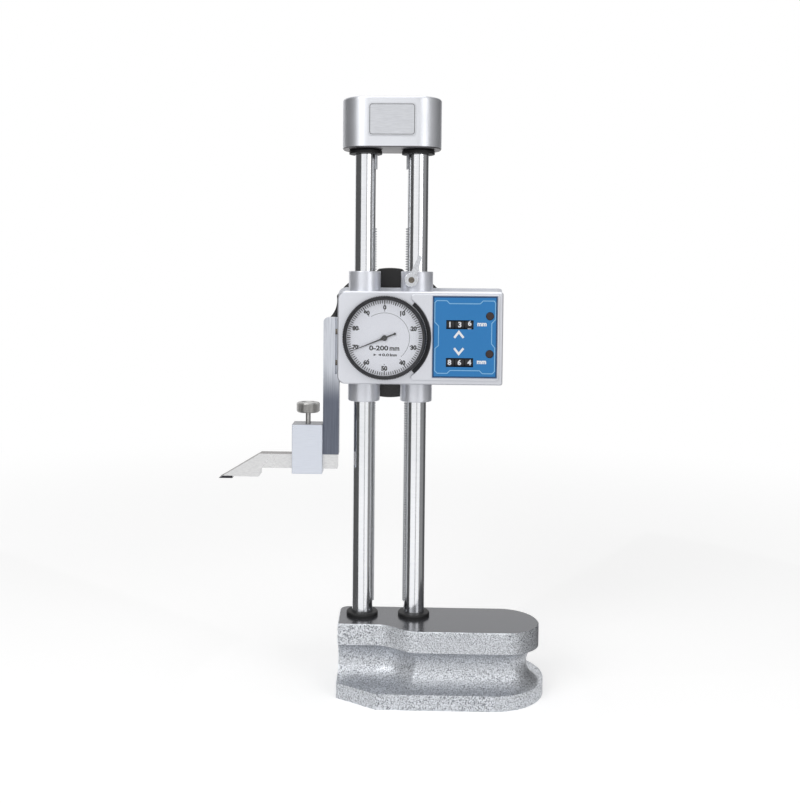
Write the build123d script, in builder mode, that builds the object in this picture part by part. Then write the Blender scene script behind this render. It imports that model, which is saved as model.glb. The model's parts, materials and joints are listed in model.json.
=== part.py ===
# Twin-column dial height gauge with two number counters. Millimetres, +Z up.
# Origin: underside of the base, midway between the two column axes. -Y faces the reader,
# and the scriber points towards -X.
from build123d import *
from math import acos, atan2, cos, degrees, pi, radians, sin, sqrt, tan
import os

os.makedirs("parts", exist_ok=True)

# ---------------------------------------------------------------- driving sizes
measuring_range = 200.0        # height range of the scriber tip; sets the column length
rest_reading = 136.69          # height of the tip above the table in the stored pose
park_gap = 0.8                 # sleeves above the base collars at reading 0
over_travel = 11.0             # room above the sleeves at full height

fit_gap = 0.04                 # radial running clearance of shafts and columns
seat_gap = 0.02                # radial gap of a piece seated in its bore
side_gap = 0.3                 # clearance between pieces that move past each other
trim_gap = 0.4                 # visible line round an inset plate
hole_run_out = 0.8             # tapped hole past the end of its screw
shaft_end_gap = 0.2            # bearing hole past the end of its shaft
running_gap = 0.1              # between faces that turn past each other
edge_break = 0.6               # chamfer of machined castings

# Base casting
base_height = 47.8
base_left = -31.6
base_front = -31.5
base_rear = 14.7
base_end_x = 73.4              # centre of the rounded right end
base_corner = 6.0              # rear left corner
setback_front = -19.7          # front edge beside the scriber
setback_start_x = -2.5
setback_end_x = 14.5
setback_radius = 16.0
top_plate_thickness = 13.3
grip_depth = 11.5              # in the front
grip_rear_depth = 7.2          # in the right end and the rear
flange_height = 9.8
flange_front = -35.5
flange_rear = 37.5             # the foot reaches back under the feed wheel
flange_end_x = 64.4            # centre of the foot's rounded right end
flange_side_margin = 0.8       # at the left end, beside the scriber
flange_corner_x = -7.0         # end of the slanted flange corner

# Columns, collars and cap
column_diameter = 13.5
column_spacing = 33.5
column_seat = 30.0             # depth of the columns in the base
cap_seat = 18.0                # depth of the columns in the cap
base_collar_diameter = 20.4
base_collar_height = 2.5
cap_collar_diameter = 21.0
cap_collar_height = 2.7
cap_length = 62.6
cap_depth = 35.5
cap_corner = 16.0
cap_height = 31.5
cap_plate_length = 29.5
cap_plate_height = 20.3
cap_plate_thickness = 0.5
cap_plate_rise = 1.2           # plate centre above the middle of the cap
cap_plate_corner = 2.2
cap_rim_round = 1.6
collar_round_share = 0.4

# Column and cap screws
column_screw_radius = 3.0
column_screw_head_radius = 5.0
column_screw_head = 6.0
column_screw_recess = 7.0
column_screw_grip = 12.0
cap_screw_radius = 2.5
cap_screw_head_radius = 4.5
cap_screw_head = 3.2
cap_screw_grip = 10.0
column_socket_radius = 2.6
cap_socket_radius = 2.2
socket_depth_share = 0.55

# Racks, on the facing sides of the columns
rack_pitch = 1.6
rack_width = 4.0
rack_slot_floor = 12.6         # from the mid plane
rack_pitch_line = 9.7          # from the mid plane
rack_bottom = 56.0
rack_teeth = 152
stop_height = 9.3
pressure_angle = radians(25)
tooth_addendum = 0.9           # in modules
tooth_dedendum = 1.15
tooth_backlash = 0.08
rack_slot_margin = 1.0         # column slot past the pitch line

# Slider casting
slider_left = -32.6
slider_right = 69.6
slider_height = 57.5
slider_corner = 5.0
slider_small_corner = 1.5
slider_front = -25.0
slider_back = 11.0
front_plate_thickness = 2.2
slider_wall = 2.5
sleeve_diameter = 20.5
sleeve_below = 13.2
sleeve_above = 12.5
bush_radius = 8.0
bush_length = 14.0
bush_notch = 5.0
bore_relief_radius = 7.5
sleeve_low_round = 0.8
sleeve_high_round = 0.5
rack_way_margin = 0.9          # ways past the pitch line
bush_notch_margin = 2.0
front_plate_chamfer = 0.7
gear_space_back = -9.7
counter_space_left = 27.0
counter_space_back = -6.0
rear_space_front = -3.5
pinion_space_half = 9.6
pinion_space_front = -3.0
pinion_space_margin = 1.2
arbor_bearing_depth = 1.5
intermediate_bearing_depth = 2.0
drive_bearing_depth = 3.0

# Rear cover
rear_cover_left = -34.4
rear_cover_right = 72.3
rear_cover_margin = 1.8        # above and below the slider
rear_cover_depth = 9.0
rear_cover_wall = 2.0
rear_cover_corner = 5.0
rear_cover_round = 1.2

# Case screws, from the rear cover into the front plate
case_post_radius = 3.0
case_screw_radius = 1.5
case_screw_head_radius = 2.8
case_screw_head = 2.0
case_screw_left_x = -27.3
case_screw_right_x = 65.2
case_screw_inset_z = 4.8
case_screw_grip = 1.2          # in the front plate
case_screw_slot = 0.6

# Dial
dial_x = -3.4
dial_rise = 29.0               # dial centre above the slider's lower face
bezel_radius = 26.0
bezel_front = -31.0
bezel_back = -25.3
bezel_lip_radius = 23.3
bezel_lip = 0.9
bezel_seat_radius = 25.1
bezel_hook_radius = 24.1
bezel_hook = 0.7
bezel_chamfer = 0.8
dial_case_radius = 23.8
dial_case_flange_radius = 24.9
dial_case_flange = 0.8
dial_case_bore = 21.8
dial_case_web = 1.0
dial_case_back = -19.9
dial_face_thickness = 0.5
crystal_thickness = 1.0
pointer_length = 22.6
pointer_tail = 6.8
pointer_hub_radius = 1.7
pointer_tail_ball = 0.75
pointer_half_widths = (0.35, 0.5, 1.53, 0.45, 0.12)   # from the tail to the tip
pointer_shoulder = 3.06        # where the hub's diamond meets the needle
pointer_thickness = 0.4
pointer_angle = 248.0          # clockwise from the top of the dial
arbor_radius = 0.9

# Dial train
gear_module = 0.4
gear_width = 1.4
gear_plane = -10.2             # rear face of the first gear
second_gear_plane = -15.0      # rear face of the second gear
rack_pinion_teeth = 15
first_gear_teeth = 60
intermediate_pinion_teeth = 15
second_gear_teeth = 72
arbor_pinion_teeth = 12
counter_gear_teeth = 25
pinion_width = 3.2
pinion_overhang = 0.1          # each side of the gear it drives
gear_shaft_overhang = 0.4
gear_holes = 5
first_gear_hole_circle = 7.0
first_gear_hole_radius = 2.4
second_gear_hole_circle = 8.4
second_gear_hole_radius = 3.2
rack_shaft_rise = 16.2         # rack pinion above the slider's lower face
train_shaft_radius = 1.2
bridge_back = -17.4
bridge_thickness = 1.2
bridge_radius = 22.8
bridge_post_radius = 2.0
bridge_posts = [(-11.6, 13.0), (-13.6, -12.0), (7.4, 19.0)]   # from the dial centre

# Counters
counter_axis_y = -17.0
counter_rise = 14.1            # lower counter above the slider's lower face
counter_spacing = 23.35
counter_x = 42.9               # middle drum
drum_radius = 8.0
drum_width = 5.7
drum_pitch = 6.1
drum_rim = 1.2
drum_recess = 1.6
drum_hub_radius = 2.6
counter_shaft_radius = 1.0
counter_wheel_teeth = 24
counter_wheel_x = 53.4
counter_wheel_width = 1.8
bevel_teeth = 16
bevel_module = 0.5
bevel_face_share = 0.6         # small end over large end
bevel_addendum = 0.7           # in modules
bevel_dedendum = 1.0
bevel_hub = 1.2
bevel_hub_share = 0.8
counter_shaft_lead = 0.3       # driven shaft behind its mitre gear's small end
idler_shaft_lead = 1.2
frame_left_x = 29.5
frame_right_x = 56.5
frame_plate = 1.3
frame_half_depth = 4.6
window_length = 16.8
window_height = 5.6

# Counter cover and its plate
cover_left = 13.0
cover_right = 67.2
cover_low = 2.9                # above the slider's lower face
cover_high = 56.0
cover_arc_radius = 28.6
cover_front = -26.6
cover_corner = 1.6
cover_round = 0.5
opening_left_margin = 1.0
opening_right_margin = 0.7
opening_low_margin = 1.4       # inside the lower drums
opening_high_margin = 3.0      # above the upper drums
plate_left = 26.2
plate_right = 65.8
plate_low = 4.7
plate_high = 54.9
plate_thickness = 0.9
plate_inset = 0.2

# Reset buttons
button_x = 61.3
button_rise = 5.4              # above each counter's axis
button_radius = 2.4
button_flange_radius = 3.3
button_flange = 1.0
button_stem_radius = 1.2
button_travel = 1.2
button_inset = 0.1
guide_front = -15.0
guide_thickness = 1.5
guide_reach = 3.2              # past the button's axis
guide_half_height = 3.0
button_round = 0.4
button_flange_gap = 0.05
spring_radius = 1.9
spring_wire = 0.5
spring_turns = 5

# Feed wheel
feed_pinion_teeth = 36
feed_rise = 28.9
feed_shaft_radius = 3.0
feed_journal_radius = 2.4
feed_journal_front = -5.9
feed_bush_radius = 5.0
feed_boss_radius = 8.0
feed_boss_height = 2.5
feed_boss_inset = 2.0          # behind the slider's rear face
handwheel_radius = 43.5
handwheel_lobes = 8
handwheel_scallop_radius = 16.0
handwheel_scallop_depth = 3.6
handwheel_back = 36.5
handwheel_thickness = 11.0
handwheel_hub_radius = 10.0
handwheel_screw_radius = 2.0
handwheel_screw_head_radius = 4.2
handwheel_screw_head = 2.4
handwheel_screw_length = 8.0
handwheel_screw_slot = 1.0
handwheel_lobe_round = 2.5
handwheel_rim_round = 1.6
handwheel_rim_width = 9.0
handwheel_dish = 3.0

# Column clamp
clamp_x = 13.0
clamp_rise = 7.1               # above the slider's top face
clamp_boss_radius = 4.4
clamp_boss_front = -11.5
clamp_hub_radius = 4.5
clamp_hub_depth = 2.8
clamp_screw_radius = 1.9
clamp_pad_length = 2.6
clamp_pad_gap = 0.06
clamp_hole_back = -4.5
clamp_hub_round = 0.4
clamp_screw_inset = 0.2
clamp_slot = 0.6
clamp_slot_depth = 0.8
lever_length = 15.0
lever_root_width = 4.8
lever_tip_width = 2.4
lever_thickness = 1.8
lever_angle = 20.0             # clockwise from upright

# Scriber arm
arm_width = 10.2
arm_half_depth = 4.5
arm_top = 40.2                 # above the slider's lower face
arm_foot_length = 17.0
arm_foot_height = 13.2
arm_corner = 3.0
arm_groove_width = 2.6
arm_groove_depth = 3.5
arm_groove_low = 4.0
arm_screw_radius = 2.0
arm_screw_head_radius = 3.5
arm_screw_head = 3.5
arm_screw_rises = [11.0, 31.0]
arm_screw_grip = 4.5           # in the slider
arm_socket_radius = 1.7
arm_socket_depth = 2.0

# Scriber and its clamp
scriber_reach = 110.0          # tip from the mid plane
scriber_end = 33.3
scriber_height = 9.2
scriber_offset = 7.0           # underside of the bar above the tip
scriber_half_depth = 4.4
scriber_step_x = 83.3
scriber_nose_drop = 5.8        # nose underside below the bar's
scriber_nose_round = 1.6
tip_length = 8.8
tip_thickness = 1.6
scriber_top_gap = 0.1
clamp_box_right = -42.9
clamp_box_length = 19.6
clamp_box_half_depth = 7.1
clamp_box_floor = 3.1
clamp_box_top = 6.1
clamp_box_gap = 0.1
clamp_box_chamfer = 0.3
thumb_radius = 7.45
thumb_head = 6.3
thumb_neck = 7.2
thumb_shank_radius = 1.6

# ---------------------------------------------------------------- derived places
half_spacing = column_spacing / 2
column_radius = column_diameter / 2
collar_top = base_height + base_collar_height
slider_low = collar_top + park_gap + sleeve_below + rest_reading
slider_high = slider_low + slider_height
sleeve_low = slider_low - sleeve_below
sleeve_high = slider_high + sleeve_above
cap_collar_low = sleeve_high - rest_reading + measuring_range + over_travel
cap_low = cap_collar_low + cap_collar_height
cap_high = cap_low + cap_height
column_low = base_height - column_seat
column_high = cap_low + cap_seat

front_plate_back = slider_front + front_plate_thickness
space_low = slider_low + slider_wall
space_high = slider_high - slider_wall
space_left = slider_left + slider_wall
space_right = slider_right - slider_wall
rear_cover_back = slider_back + rear_cover_depth

rack_module = rack_pitch / pi
rack_pinion_radius = rack_module * rack_pinion_teeth / 2
feed_pinion_radius = rack_module * feed_pinion_teeth / 2
rack_shaft = (rack_pitch_line - rack_pinion_radius, slider_low + rack_shaft_rise)
feed_shaft = (feed_pinion_radius - rack_pitch_line, slider_low + feed_rise)
dial_centre = (dial_x, slider_low + dial_rise)
counter_low_z = slider_low + counter_rise
counter_high_z = counter_low_z + counter_spacing
idler_z = (counter_low_z + counter_high_z) / 2
counter_wheel_module = counter_spacing / 2 / counter_wheel_teeth
counter_gear_distance = gear_module * (first_gear_teeth + counter_gear_teeth) / 2
counter_drive_x = rack_shaft[0] + sqrt(counter_gear_distance ** 2 - (counter_low_z - rack_shaft[1]) ** 2)
counter_drive = (counter_drive_x, counter_low_z)
bevel_radius = bevel_module * bevel_teeth / 2


def meeting_point(centre_a, radius_a, centre_b, radius_b):
    """Point at radius_a from A and radius_b from B, on the right of the line from A to B."""
    dx = centre_b[0] - centre_a[0]
    dz = centre_b[1] - centre_a[1]
    gap = sqrt(dx * dx + dz * dz)
    along = (radius_a ** 2 - radius_b ** 2 + gap ** 2) / (2 * gap)
    across = sqrt(radius_a ** 2 - along ** 2)
    return (
        centre_a[0] + (along * dx - across * dz) / gap,
        centre_a[1] + (along * dz + across * dx) / gap,
    )


second_distance = gear_module * (second_gear_teeth + arbor_pinion_teeth) / 2
first_distance = gear_module * (first_gear_teeth + intermediate_pinion_teeth) / 2
intermediate = meeting_point(dial_centre, second_distance, rack_shaft, first_distance)

tip_low = rest_reading
scriber_low = tip_low + scriber_offset
scriber_high = scriber_low + scriber_height
foot_low = scriber_high + scriber_top_gap
foot_high = foot_low + arm_foot_height
arm_right = slider_left
arm_left = arm_right - arm_width
clamp_box_low = scriber_low - seat_gap - clamp_box_floor
clamp_box_inner_high = foot_high + side_gap
clamp_box_high = clamp_box_inner_high + clamp_box_top
clamp_box_x = clamp_box_right - clamp_box_length / 2

case_screw_places = [
    (x, z)
    for x in (case_screw_left_x, case_screw_right_x)
    for z in (slider_low + case_screw_inset_z, slider_high - case_screw_inset_z)
]


# ---------------------------------------------------------------- shared shapes
def front_plane(y):
    """Plane at depth y whose sketches read (X, Z) and extrude towards the reader."""
    return Plane.XZ.offset(-y)


def bar_y(x, z, radius, y_back, y_front, mode=Mode.ADD):
    """Round bar along Y, added to or cut from the part being built."""
    with BuildSketch(front_plane(y_back)) as outline:
        with Locations((x, z)):
            Circle(radius)
    extrude(outline.sketch, amount=y_back - y_front, mode=mode)


def bar_x(y, z, radius, x_left, x_right, mode=Mode.ADD):
    """Round bar along X."""
    with BuildSketch(Plane.YZ.offset(x_left)) as outline:
        with Locations((y, z)):
            Circle(radius)
    extrude(outline.sketch, amount=x_right - x_left, mode=mode)


def bar_z(x, y, radius, z_low, z_high, mode=Mode.ADD):
    """Round bar along Z."""
    with BuildSketch(Plane.XY.offset(z_low)) as outline:
        with Locations((x, y)):
            Circle(radius)
    extrude(outline.sketch, amount=z_high - z_low, mode=mode)


def block(x_range, y_range, z_range, mode=Mode.ADD):
    """Rectangular block between two corners."""
    middle = [(low + high) / 2 for low, high in (x_range, y_range, z_range)]
    with Locations(tuple(middle)):
        Box(x_range[1] - x_range[0], y_range[1] - y_range[0], z_range[1] - z_range[0], mode=mode)


def save(made, name):
    made.part.label = name
    export_step(made.part, f"parts/{name}.step")


# ---------------------------------------------------------------- gear shapes
def involute(angle):
    return tan(angle) - angle


def gear_points(teeth, module, phase):
    """Closed outline of a spur gear with one tooth centred at phase degrees."""
    pitch_radius = module * teeth / 2
    base_radius = pitch_radius * cos(pressure_angle)
    root_radius = pitch_radius - tooth_dedendum * module
    tip_radius = pitch_radius + tooth_addendum * module
    half_tooth = pi / (2 * teeth) - tooth_backlash / (4 * pitch_radius)

    def half_angle(radius):
        turned = acos(min(1.0, base_radius / radius))
        return half_tooth + involute(pressure_angle) - involute(turned)

    flank = [root_radius, pitch_radius, tip_radius]
    points = []
    for tooth in range(teeth):
        middle = radians(phase) + 2 * pi * tooth / teeth
        for radius in flank:
            angle = middle - half_angle(radius)
            points.append((radius * cos(angle), radius * sin(angle)))
        for radius in reversed(flank):
            angle = middle + half_angle(radius)
            points.append((radius * cos(angle), radius * sin(angle)))
    return points


def mating_phase(teeth_a, phase_a, teeth_b, direction):
    """Phase of gear B that meshes with gear A, with B lying at direction degrees from A."""
    share_a = (direction - phase_a) / (360 / teeth_a)
    share_b = 0.5 - share_a
    return direction + 180 - share_b * 360 / teeth_b


def gear_y(centre, teeth, module, phase, y_back, width):
    """Spur gear about a Y axis, added to the part being built."""
    with BuildSketch(front_plane(y_back)) as outline:
        with BuildLine(Location((centre[0], centre[1]))):
            Polyline(*gear_points(teeth, module, phase), close=True)
        make_face()
    extrude(outline.sketch, amount=width)


def gear_x(centre, teeth, module, phase, x_left, width):
    """Spur gear about an X axis; centre is (Y, Z)."""
    with BuildSketch(Plane.YZ.offset(x_left)) as outline:
        with BuildLine(Location((centre[0], centre[1]))):
            Polyline(*gear_points(teeth, module, phase), close=True)
        make_face()
    extrude(outline.sketch, amount=width)


def bevel_points(scale, phase):
    """Section of a mitre gear, square to its axis, at scale times its large end."""
    cone_distance = bevel_radius * sqrt(2)
    addendum = atan2(bevel_addendum * bevel_module, cone_distance)
    dedendum = atan2(bevel_dedendum * bevel_module, cone_distance)
    tip_radius = bevel_radius * tan(pi / 4 + addendum)
    root_radius = bevel_radius * tan(pi / 4 - dedendum)
    pitch_half = pi * bevel_module / 4 - tooth_backlash
    tip_half = (pitch_half - tan(pressure_angle) * bevel_addendum * bevel_module) / tip_radius
    root_half = (pitch_half + tan(pressure_angle) * bevel_dedendum * bevel_module) / root_radius
    points = []
    for tooth in range(bevel_teeth):
        middle = radians(phase) + 2 * pi * tooth / bevel_teeth
        for radius, turn in (
            (root_radius, -root_half),
            (tip_radius, -tip_half),
            (tip_radius, tip_half),
            (root_radius, root_half),
        ):
            angle = middle + turn
            points.append((scale * radius * cos(angle), scale * radius * sin(angle)))
    return points


def angle_to(centre_a, centre_b):
    return degrees(atan2(centre_b[1] - centre_a[1], centre_b[0] - centre_a[0]))


# ---------------------------------------------------------------- base
plate_radius = (base_rear - base_front) / 2
base_middle_y = (base_rear + base_front) / 2
grip_rear_y = base_rear + grip_depth - grip_rear_depth
grip_radius = (grip_rear_y - base_front) / 2
grip_end_x = base_end_x + plate_radius + grip_depth - grip_rear_depth - grip_radius
flange_radius = (flange_rear - flange_front) / 2
waist_low = flange_height
waist_high = base_height - top_plate_thickness

with BuildPart() as base:
    # Full-height block with the setback beside the scriber
    with BuildSketch() as plate_outline:
        with BuildLine():
            Polyline(
                (base_end_x, base_front),
                (setback_end_x, base_front),
                (setback_start_x, setback_front),
                (base_left, setback_front),
                (base_left, base_rear),
                (base_end_x, base_rear),
            )
            ThreePointArc(
                (base_end_x, base_rear),
                (base_end_x + plate_radius, base_middle_y),
                (base_end_x, base_front),
            )
        make_face()
        fillet(
            plate_outline.vertices().filter_by_position(
                Axis.X, setback_start_x - 1, setback_end_x + 1
            ),
            setback_radius,
        )
        rear_left = plate_outline.vertices().sort_by(Axis.X)[:2].sort_by(Axis.Y)[-1]
        fillet(rear_left, base_corner)
    extrude(amount=base_height)
    # Concave finger grip round the front, the right end and the rear
    with BuildLine() as grip_path:
        FilletPolyline(
            (base_left - grip_depth, setback_front),
            (setback_start_x, setback_front),
            (setback_end_x, base_front),
            (grip_end_x, base_front),
            radius=setback_radius,
        )
        ThreePointArc(
            (grip_end_x, base_front),
            (grip_end_x + grip_radius, (base_front + grip_rear_y) / 2),
            (grip_end_x, grip_rear_y),
        )
        Line((grip_end_x, grip_rear_y), (base_left - grip_depth, grip_rear_y))
    with BuildSketch(Plane.YZ.offset(base_left - grip_depth), mode=Mode.PRIVATE) as grip_section:
        with Locations((setback_front, (waist_low + waist_high) / 2)):
            Ellipse(grip_depth, (waist_high - waist_low) / 2)
    sweep(sections=grip_section.sketch, path=grip_path.wires()[0], mode=Mode.SUBTRACT)
    # Wider foot flange
    with BuildSketch() as flange_outline:
        with BuildLine():
            Polyline(
                (flange_end_x, flange_front),
                (flange_corner_x, flange_front),
                (base_left - flange_side_margin, setback_front),
                (base_left - flange_side_margin, flange_rear),
                (flange_end_x, flange_rear),
            )
            ThreePointArc(
                (flange_end_x, flange_rear),
                (flange_end_x + flange_radius, (flange_front + flange_rear) / 2),
                (flange_end_x, flange_front),
            )
        make_face()
        rear_left = flange_outline.vertices().sort_by(Axis.X)[:2].sort_by(Axis.Y)[-1]
        fillet(rear_left, base_corner)
    extrude(flange_outline.sketch, amount=flange_height)
    # Broken edges
    top_edges = base.faces().sort_by(Axis.Z)[-1].edges()
    chamfer(top_edges, edge_break)
    # Column sockets, with screw recesses from below
    for side in (-1, 1):
        column_x = side * half_spacing
        bar_z(column_x, 0, column_radius + seat_gap, column_low, base_height, Mode.SUBTRACT)
        bar_z(column_x, 0, column_screw_radius + seat_gap, 0, column_low, Mode.SUBTRACT)
        bar_z(column_x, 0, column_screw_head_radius + side_gap, 0, column_screw_recess, Mode.SUBTRACT)
save(base, "base")


# ---------------------------------------------------------------- columns
def make_column(side):
    """One column; its rack slot and stop slot face the mid plane."""
    column_x = side * half_spacing
    slot_x = sorted((side * rack_slot_floor, side * (rack_pitch_line - rack_slot_margin)))
    with BuildPart() as column:
        bar_z(column_x, 0, column_radius, column_low, column_high)
        for z_range in (
            (rack_bottom, rack_bottom + rack_teeth * rack_pitch),
            (cap_collar_low - stop_height, cap_collar_low),
        ):
            block(slot_x, (-rack_width / 2, rack_width / 2), z_range, Mode.SUBTRACT)
        bar_z(
            column_x, 0, column_screw_radius + seat_gap,
            column_low, column_low + column_screw_grip + hole_run_out, Mode.SUBTRACT,
        )
        bar_z(
            column_x, 0, cap_screw_radius + seat_gap,
            column_high - cap_screw_grip - hole_run_out, column_high, Mode.SUBTRACT,
        )
    return column


save(make_column(-1), "column_left")
save(make_column(1), "column_right")


def make_rack(side, pinion_z):
    """Rack with a tooth gap at the pinion's height in the stored pose."""
    tip_x = rack_pitch_line - tooth_addendum * rack_module
    root_x = rack_pitch_line + tooth_dedendum * rack_module
    half_at_pitch = rack_pitch / 4 - tooth_backlash / 4
    half_at_tip = half_at_pitch - tan(pressure_angle) * tooth_addendum * rack_module
    half_at_root = half_at_pitch + tan(pressure_angle) * tooth_dedendum * rack_module
    first_gap = pinion_z - rack_pitch * int((pinion_z - rack_bottom) / rack_pitch)
    points = [(side * rack_slot_floor, rack_bottom), (side * root_x, rack_bottom)]
    for tooth in range(rack_teeth - 1):
        middle = first_gap + rack_pitch * (tooth + 0.5)
        for reach, half in ((root_x, -half_at_root), (tip_x, -half_at_tip)):
            points.append((side * reach, middle + half))
        for reach, half in ((tip_x, half_at_tip), (root_x, half_at_root)):
            points.append((side * reach, middle + half))
    rack_top = rack_bottom + rack_teeth * rack_pitch
    points.append((side * root_x, rack_top))
    points.append((side * rack_slot_floor, rack_top))
    with BuildPart() as rack:
        with BuildSketch(front_plane(rack_width / 2)):
            with BuildLine():
                Polyline(*points, close=True)
            make_face()
        extrude(amount=rack_width)
    return rack


save(make_rack(-1, feed_shaft[1]), "feed_rack")
save(make_rack(1, rack_shaft[1]), "dial_rack")

with BuildPart() as travel_stops:
    for side in (-1, 1):
        block(
            sorted((side * rack_slot_floor, side * (rack_pitch_line - tooth_addendum * rack_module))),
            (-rack_width / 2, rack_width / 2),
            (cap_collar_low - stop_height, cap_collar_low),
        )
save(travel_stops, "travel_stops")


def make_collars(diameter, z_low, height):
    """Pair of rubber collars round the columns."""
    with BuildPart() as collars:
        for side in (-1, 1):
            bar_z(side * half_spacing, 0, diameter / 2, z_low, z_low + height)
        rims = collars.edges().filter_by(GeomType.CIRCLE).group_by(Axis.Z)
        fillet(rims[-1], height * collar_round_share)
        for side in (-1, 1):
            bar_z(
                side * half_spacing, 0, column_radius + seat_gap,
                z_low, z_low + height, Mode.SUBTRACT,
            )
    return collars


save(make_collars(base_collar_diameter, base_height, base_collar_height), "base_collars")
save(make_collars(cap_collar_diameter, cap_collar_low, cap_collar_height), "cap_collars")

# ---------------------------------------------------------------- cap
cap_front = -cap_depth / 2
cap_plate_z = (cap_low + cap_high) / 2 + cap_plate_rise
with BuildPart() as top_cap:
    with BuildSketch(Plane.XY.offset(cap_low)):
        RectangleRounded(cap_length, cap_depth, cap_corner)
    extrude(amount=cap_height)
    fillet(top_cap.edges().group_by(Axis.Z)[-1], cap_rim_round)
    chamfer(top_cap.edges().group_by(Axis.Z)[0], edge_break)
    for side in (-1, 1):
        cap_x = side * half_spacing
        bar_z(cap_x, 0, column_radius + seat_gap, cap_low, column_high, Mode.SUBTRACT)
        bar_z(cap_x, 0, cap_screw_radius + seat_gap, column_high, cap_high, Mode.SUBTRACT)
        bar_z(
            cap_x, 0, cap_screw_head_radius + seat_gap,
            cap_high - cap_screw_head, cap_high, Mode.SUBTRACT,
        )
save(top_cap, "top_cap")

with BuildPart() as cap_plate:
    with BuildSketch(front_plane(cap_front)):
        with Locations((0, cap_plate_z)):
            RectangleRounded(cap_plate_length, cap_plate_height, cap_plate_corner)
    extrude(amount=cap_plate_thickness)
save(cap_plate, "cap_plate")


def make_screws(places, shank_radius, head_radius, shank_range, head_range, socket_radius):
    """Vertical socket screws; the head is at the end that head_range names."""
    with BuildPart() as screws:
        for x, y in places:
            bar_z(x, y, shank_radius, *shank_range)
            bar_z(x, y, head_radius, *head_range)
            head_up = head_range[0] >= shank_range[1]
            depth = (head_range[1] - head_range[0]) * socket_depth_share
            low = head_range[1] - depth if head_up else head_range[0]
            with BuildSketch(Plane.XY.offset(low)) as socket:
                with Locations((x, y)):
                    RegularPolygon(socket_radius, 6)
            extrude(socket.sketch, amount=depth, mode=Mode.SUBTRACT)
    return screws


column_places = [(-half_spacing, 0), (half_spacing, 0)]
save(
    make_screws(
        column_places, column_screw_radius, column_screw_head_radius,
        (column_screw_recess, column_low + column_screw_grip),
        (column_screw_recess - column_screw_head, column_screw_recess),
        column_socket_radius,
    ),
    "column_screws",
)
save(
    make_screws(
        column_places, cap_screw_radius, cap_screw_head_radius,
        (column_high - cap_screw_grip, cap_high - cap_screw_head),
        (cap_high - cap_screw_head, cap_high),
        cap_socket_radius,
    ),
    "cap_screws",
)

# ---------------------------------------------------------------- slider casting
clamp_z = slider_high + clamp_rise

with BuildPart() as slider_body:
    with BuildSketch(front_plane(slider_back)) as body_outline:
        with Locations(((slider_left + slider_right) / 2, (slider_low + slider_high) / 2)):
            Rectangle(slider_right - slider_left, slider_height)
        fillet(body_outline.vertices().group_by(Axis.X)[0], slider_corner)
        fillet(body_outline.vertices().group_by(Axis.X)[-1], slider_small_corner)
    extrude(amount=slider_back - front_plate_back)
    # Column sleeves
    for side in (-1, 1):
        bar_z(side * half_spacing, 0, sleeve_diameter / 2, sleeve_low, sleeve_high)
    rims = slider_body.edges().filter_by(GeomType.CIRCLE).group_by(Axis.Z)
    fillet(rims[0], sleeve_low_round)
    fillet(rims[-1], sleeve_high_round)
    # Gear space and counter space, open to the front
    block(
        (space_left, counter_space_left), (front_plate_back, gear_space_back),
        (space_low, space_high), Mode.SUBTRACT,
    )
    block(
        (counter_space_left, space_right), (front_plate_back, counter_space_back),
        (space_low, space_high), Mode.SUBTRACT,
    )
    bar_y(
        *dial_centre, dial_case_radius + side_gap,
        gear_space_back, front_plate_back, Mode.SUBTRACT,
    )
    # Weight-saving space behind the counters, open to the rear
    block(
        (counter_space_left, space_right), (rear_space_front, slider_back),
        (space_low, space_high), Mode.SUBTRACT,
    )
    # Posts for the case screws
    for post_x, post_z in case_screw_places:
        bar_y(post_x, post_z, case_post_radius, slider_back, front_plate_back)
    # Boss of the column clamp
    bar_y(clamp_x, clamp_z, clamp_boss_radius, 0, clamp_boss_front)
    for side in (-1, 1):
        sleeve_x = side * half_spacing
        bar_z(sleeve_x, 0, bore_relief_radius, sleeve_low, sleeve_high, Mode.SUBTRACT)
        for low in (sleeve_low, sleeve_high - bush_length):
            bar_z(sleeve_x, 0, bush_radius, low, low + bush_length, Mode.SUBTRACT)
        # Way for the rack
        block(
            sorted((sleeve_x, side * (rack_pitch_line - rack_way_margin))),
            (-bush_notch / 2, bush_notch / 2), (sleeve_low, sleeve_high), Mode.SUBTRACT,
        )
    # Space between the columns for the two rack pinions, open to the rear
    block(
        (-pinion_space_half, pinion_space_half), (pinion_space_front, slider_back),
        (
            rack_shaft[1] - rack_pinion_radius - pinion_space_margin,
            feed_shaft[1] + feed_pinion_radius + pinion_space_margin,
        ),
        Mode.SUBTRACT,
    )
    # Bearings in the wall behind the gears
    bar_y(*rack_shaft, train_shaft_radius + fit_gap, pinion_space_front, gear_space_back, Mode.SUBTRACT)
    bar_y(
        *feed_shaft, feed_journal_radius + fit_gap,
        pinion_space_front, feed_journal_front - running_gap, Mode.SUBTRACT,
    )
    for centre, radius, depth in (
        (dial_centre, arbor_radius, arbor_bearing_depth),
        (intermediate, train_shaft_radius, intermediate_bearing_depth),
        (counter_drive, train_shaft_radius, drive_bearing_depth),
    ):
        bar_y(*centre, radius + fit_gap, gear_space_back + depth, gear_space_back, Mode.SUBTRACT)
    # Screw holes
    for post_x, post_z in case_screw_places:
        bar_y(post_x, post_z, case_screw_radius + seat_gap, slider_back, front_plate_back, Mode.SUBTRACT)
    for rise in arm_screw_rises:
        bar_x(
            0, slider_low + rise, arm_screw_radius + seat_gap,
            slider_left, slider_left + arm_screw_grip + hole_run_out, Mode.SUBTRACT,
        )
    # Clamp screw and its pad
    bar_y(clamp_x, clamp_z, clamp_screw_radius + fit_gap, clamp_hole_back, clamp_boss_front, Mode.SUBTRACT)
save(slider_body, "slider_body")

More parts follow.
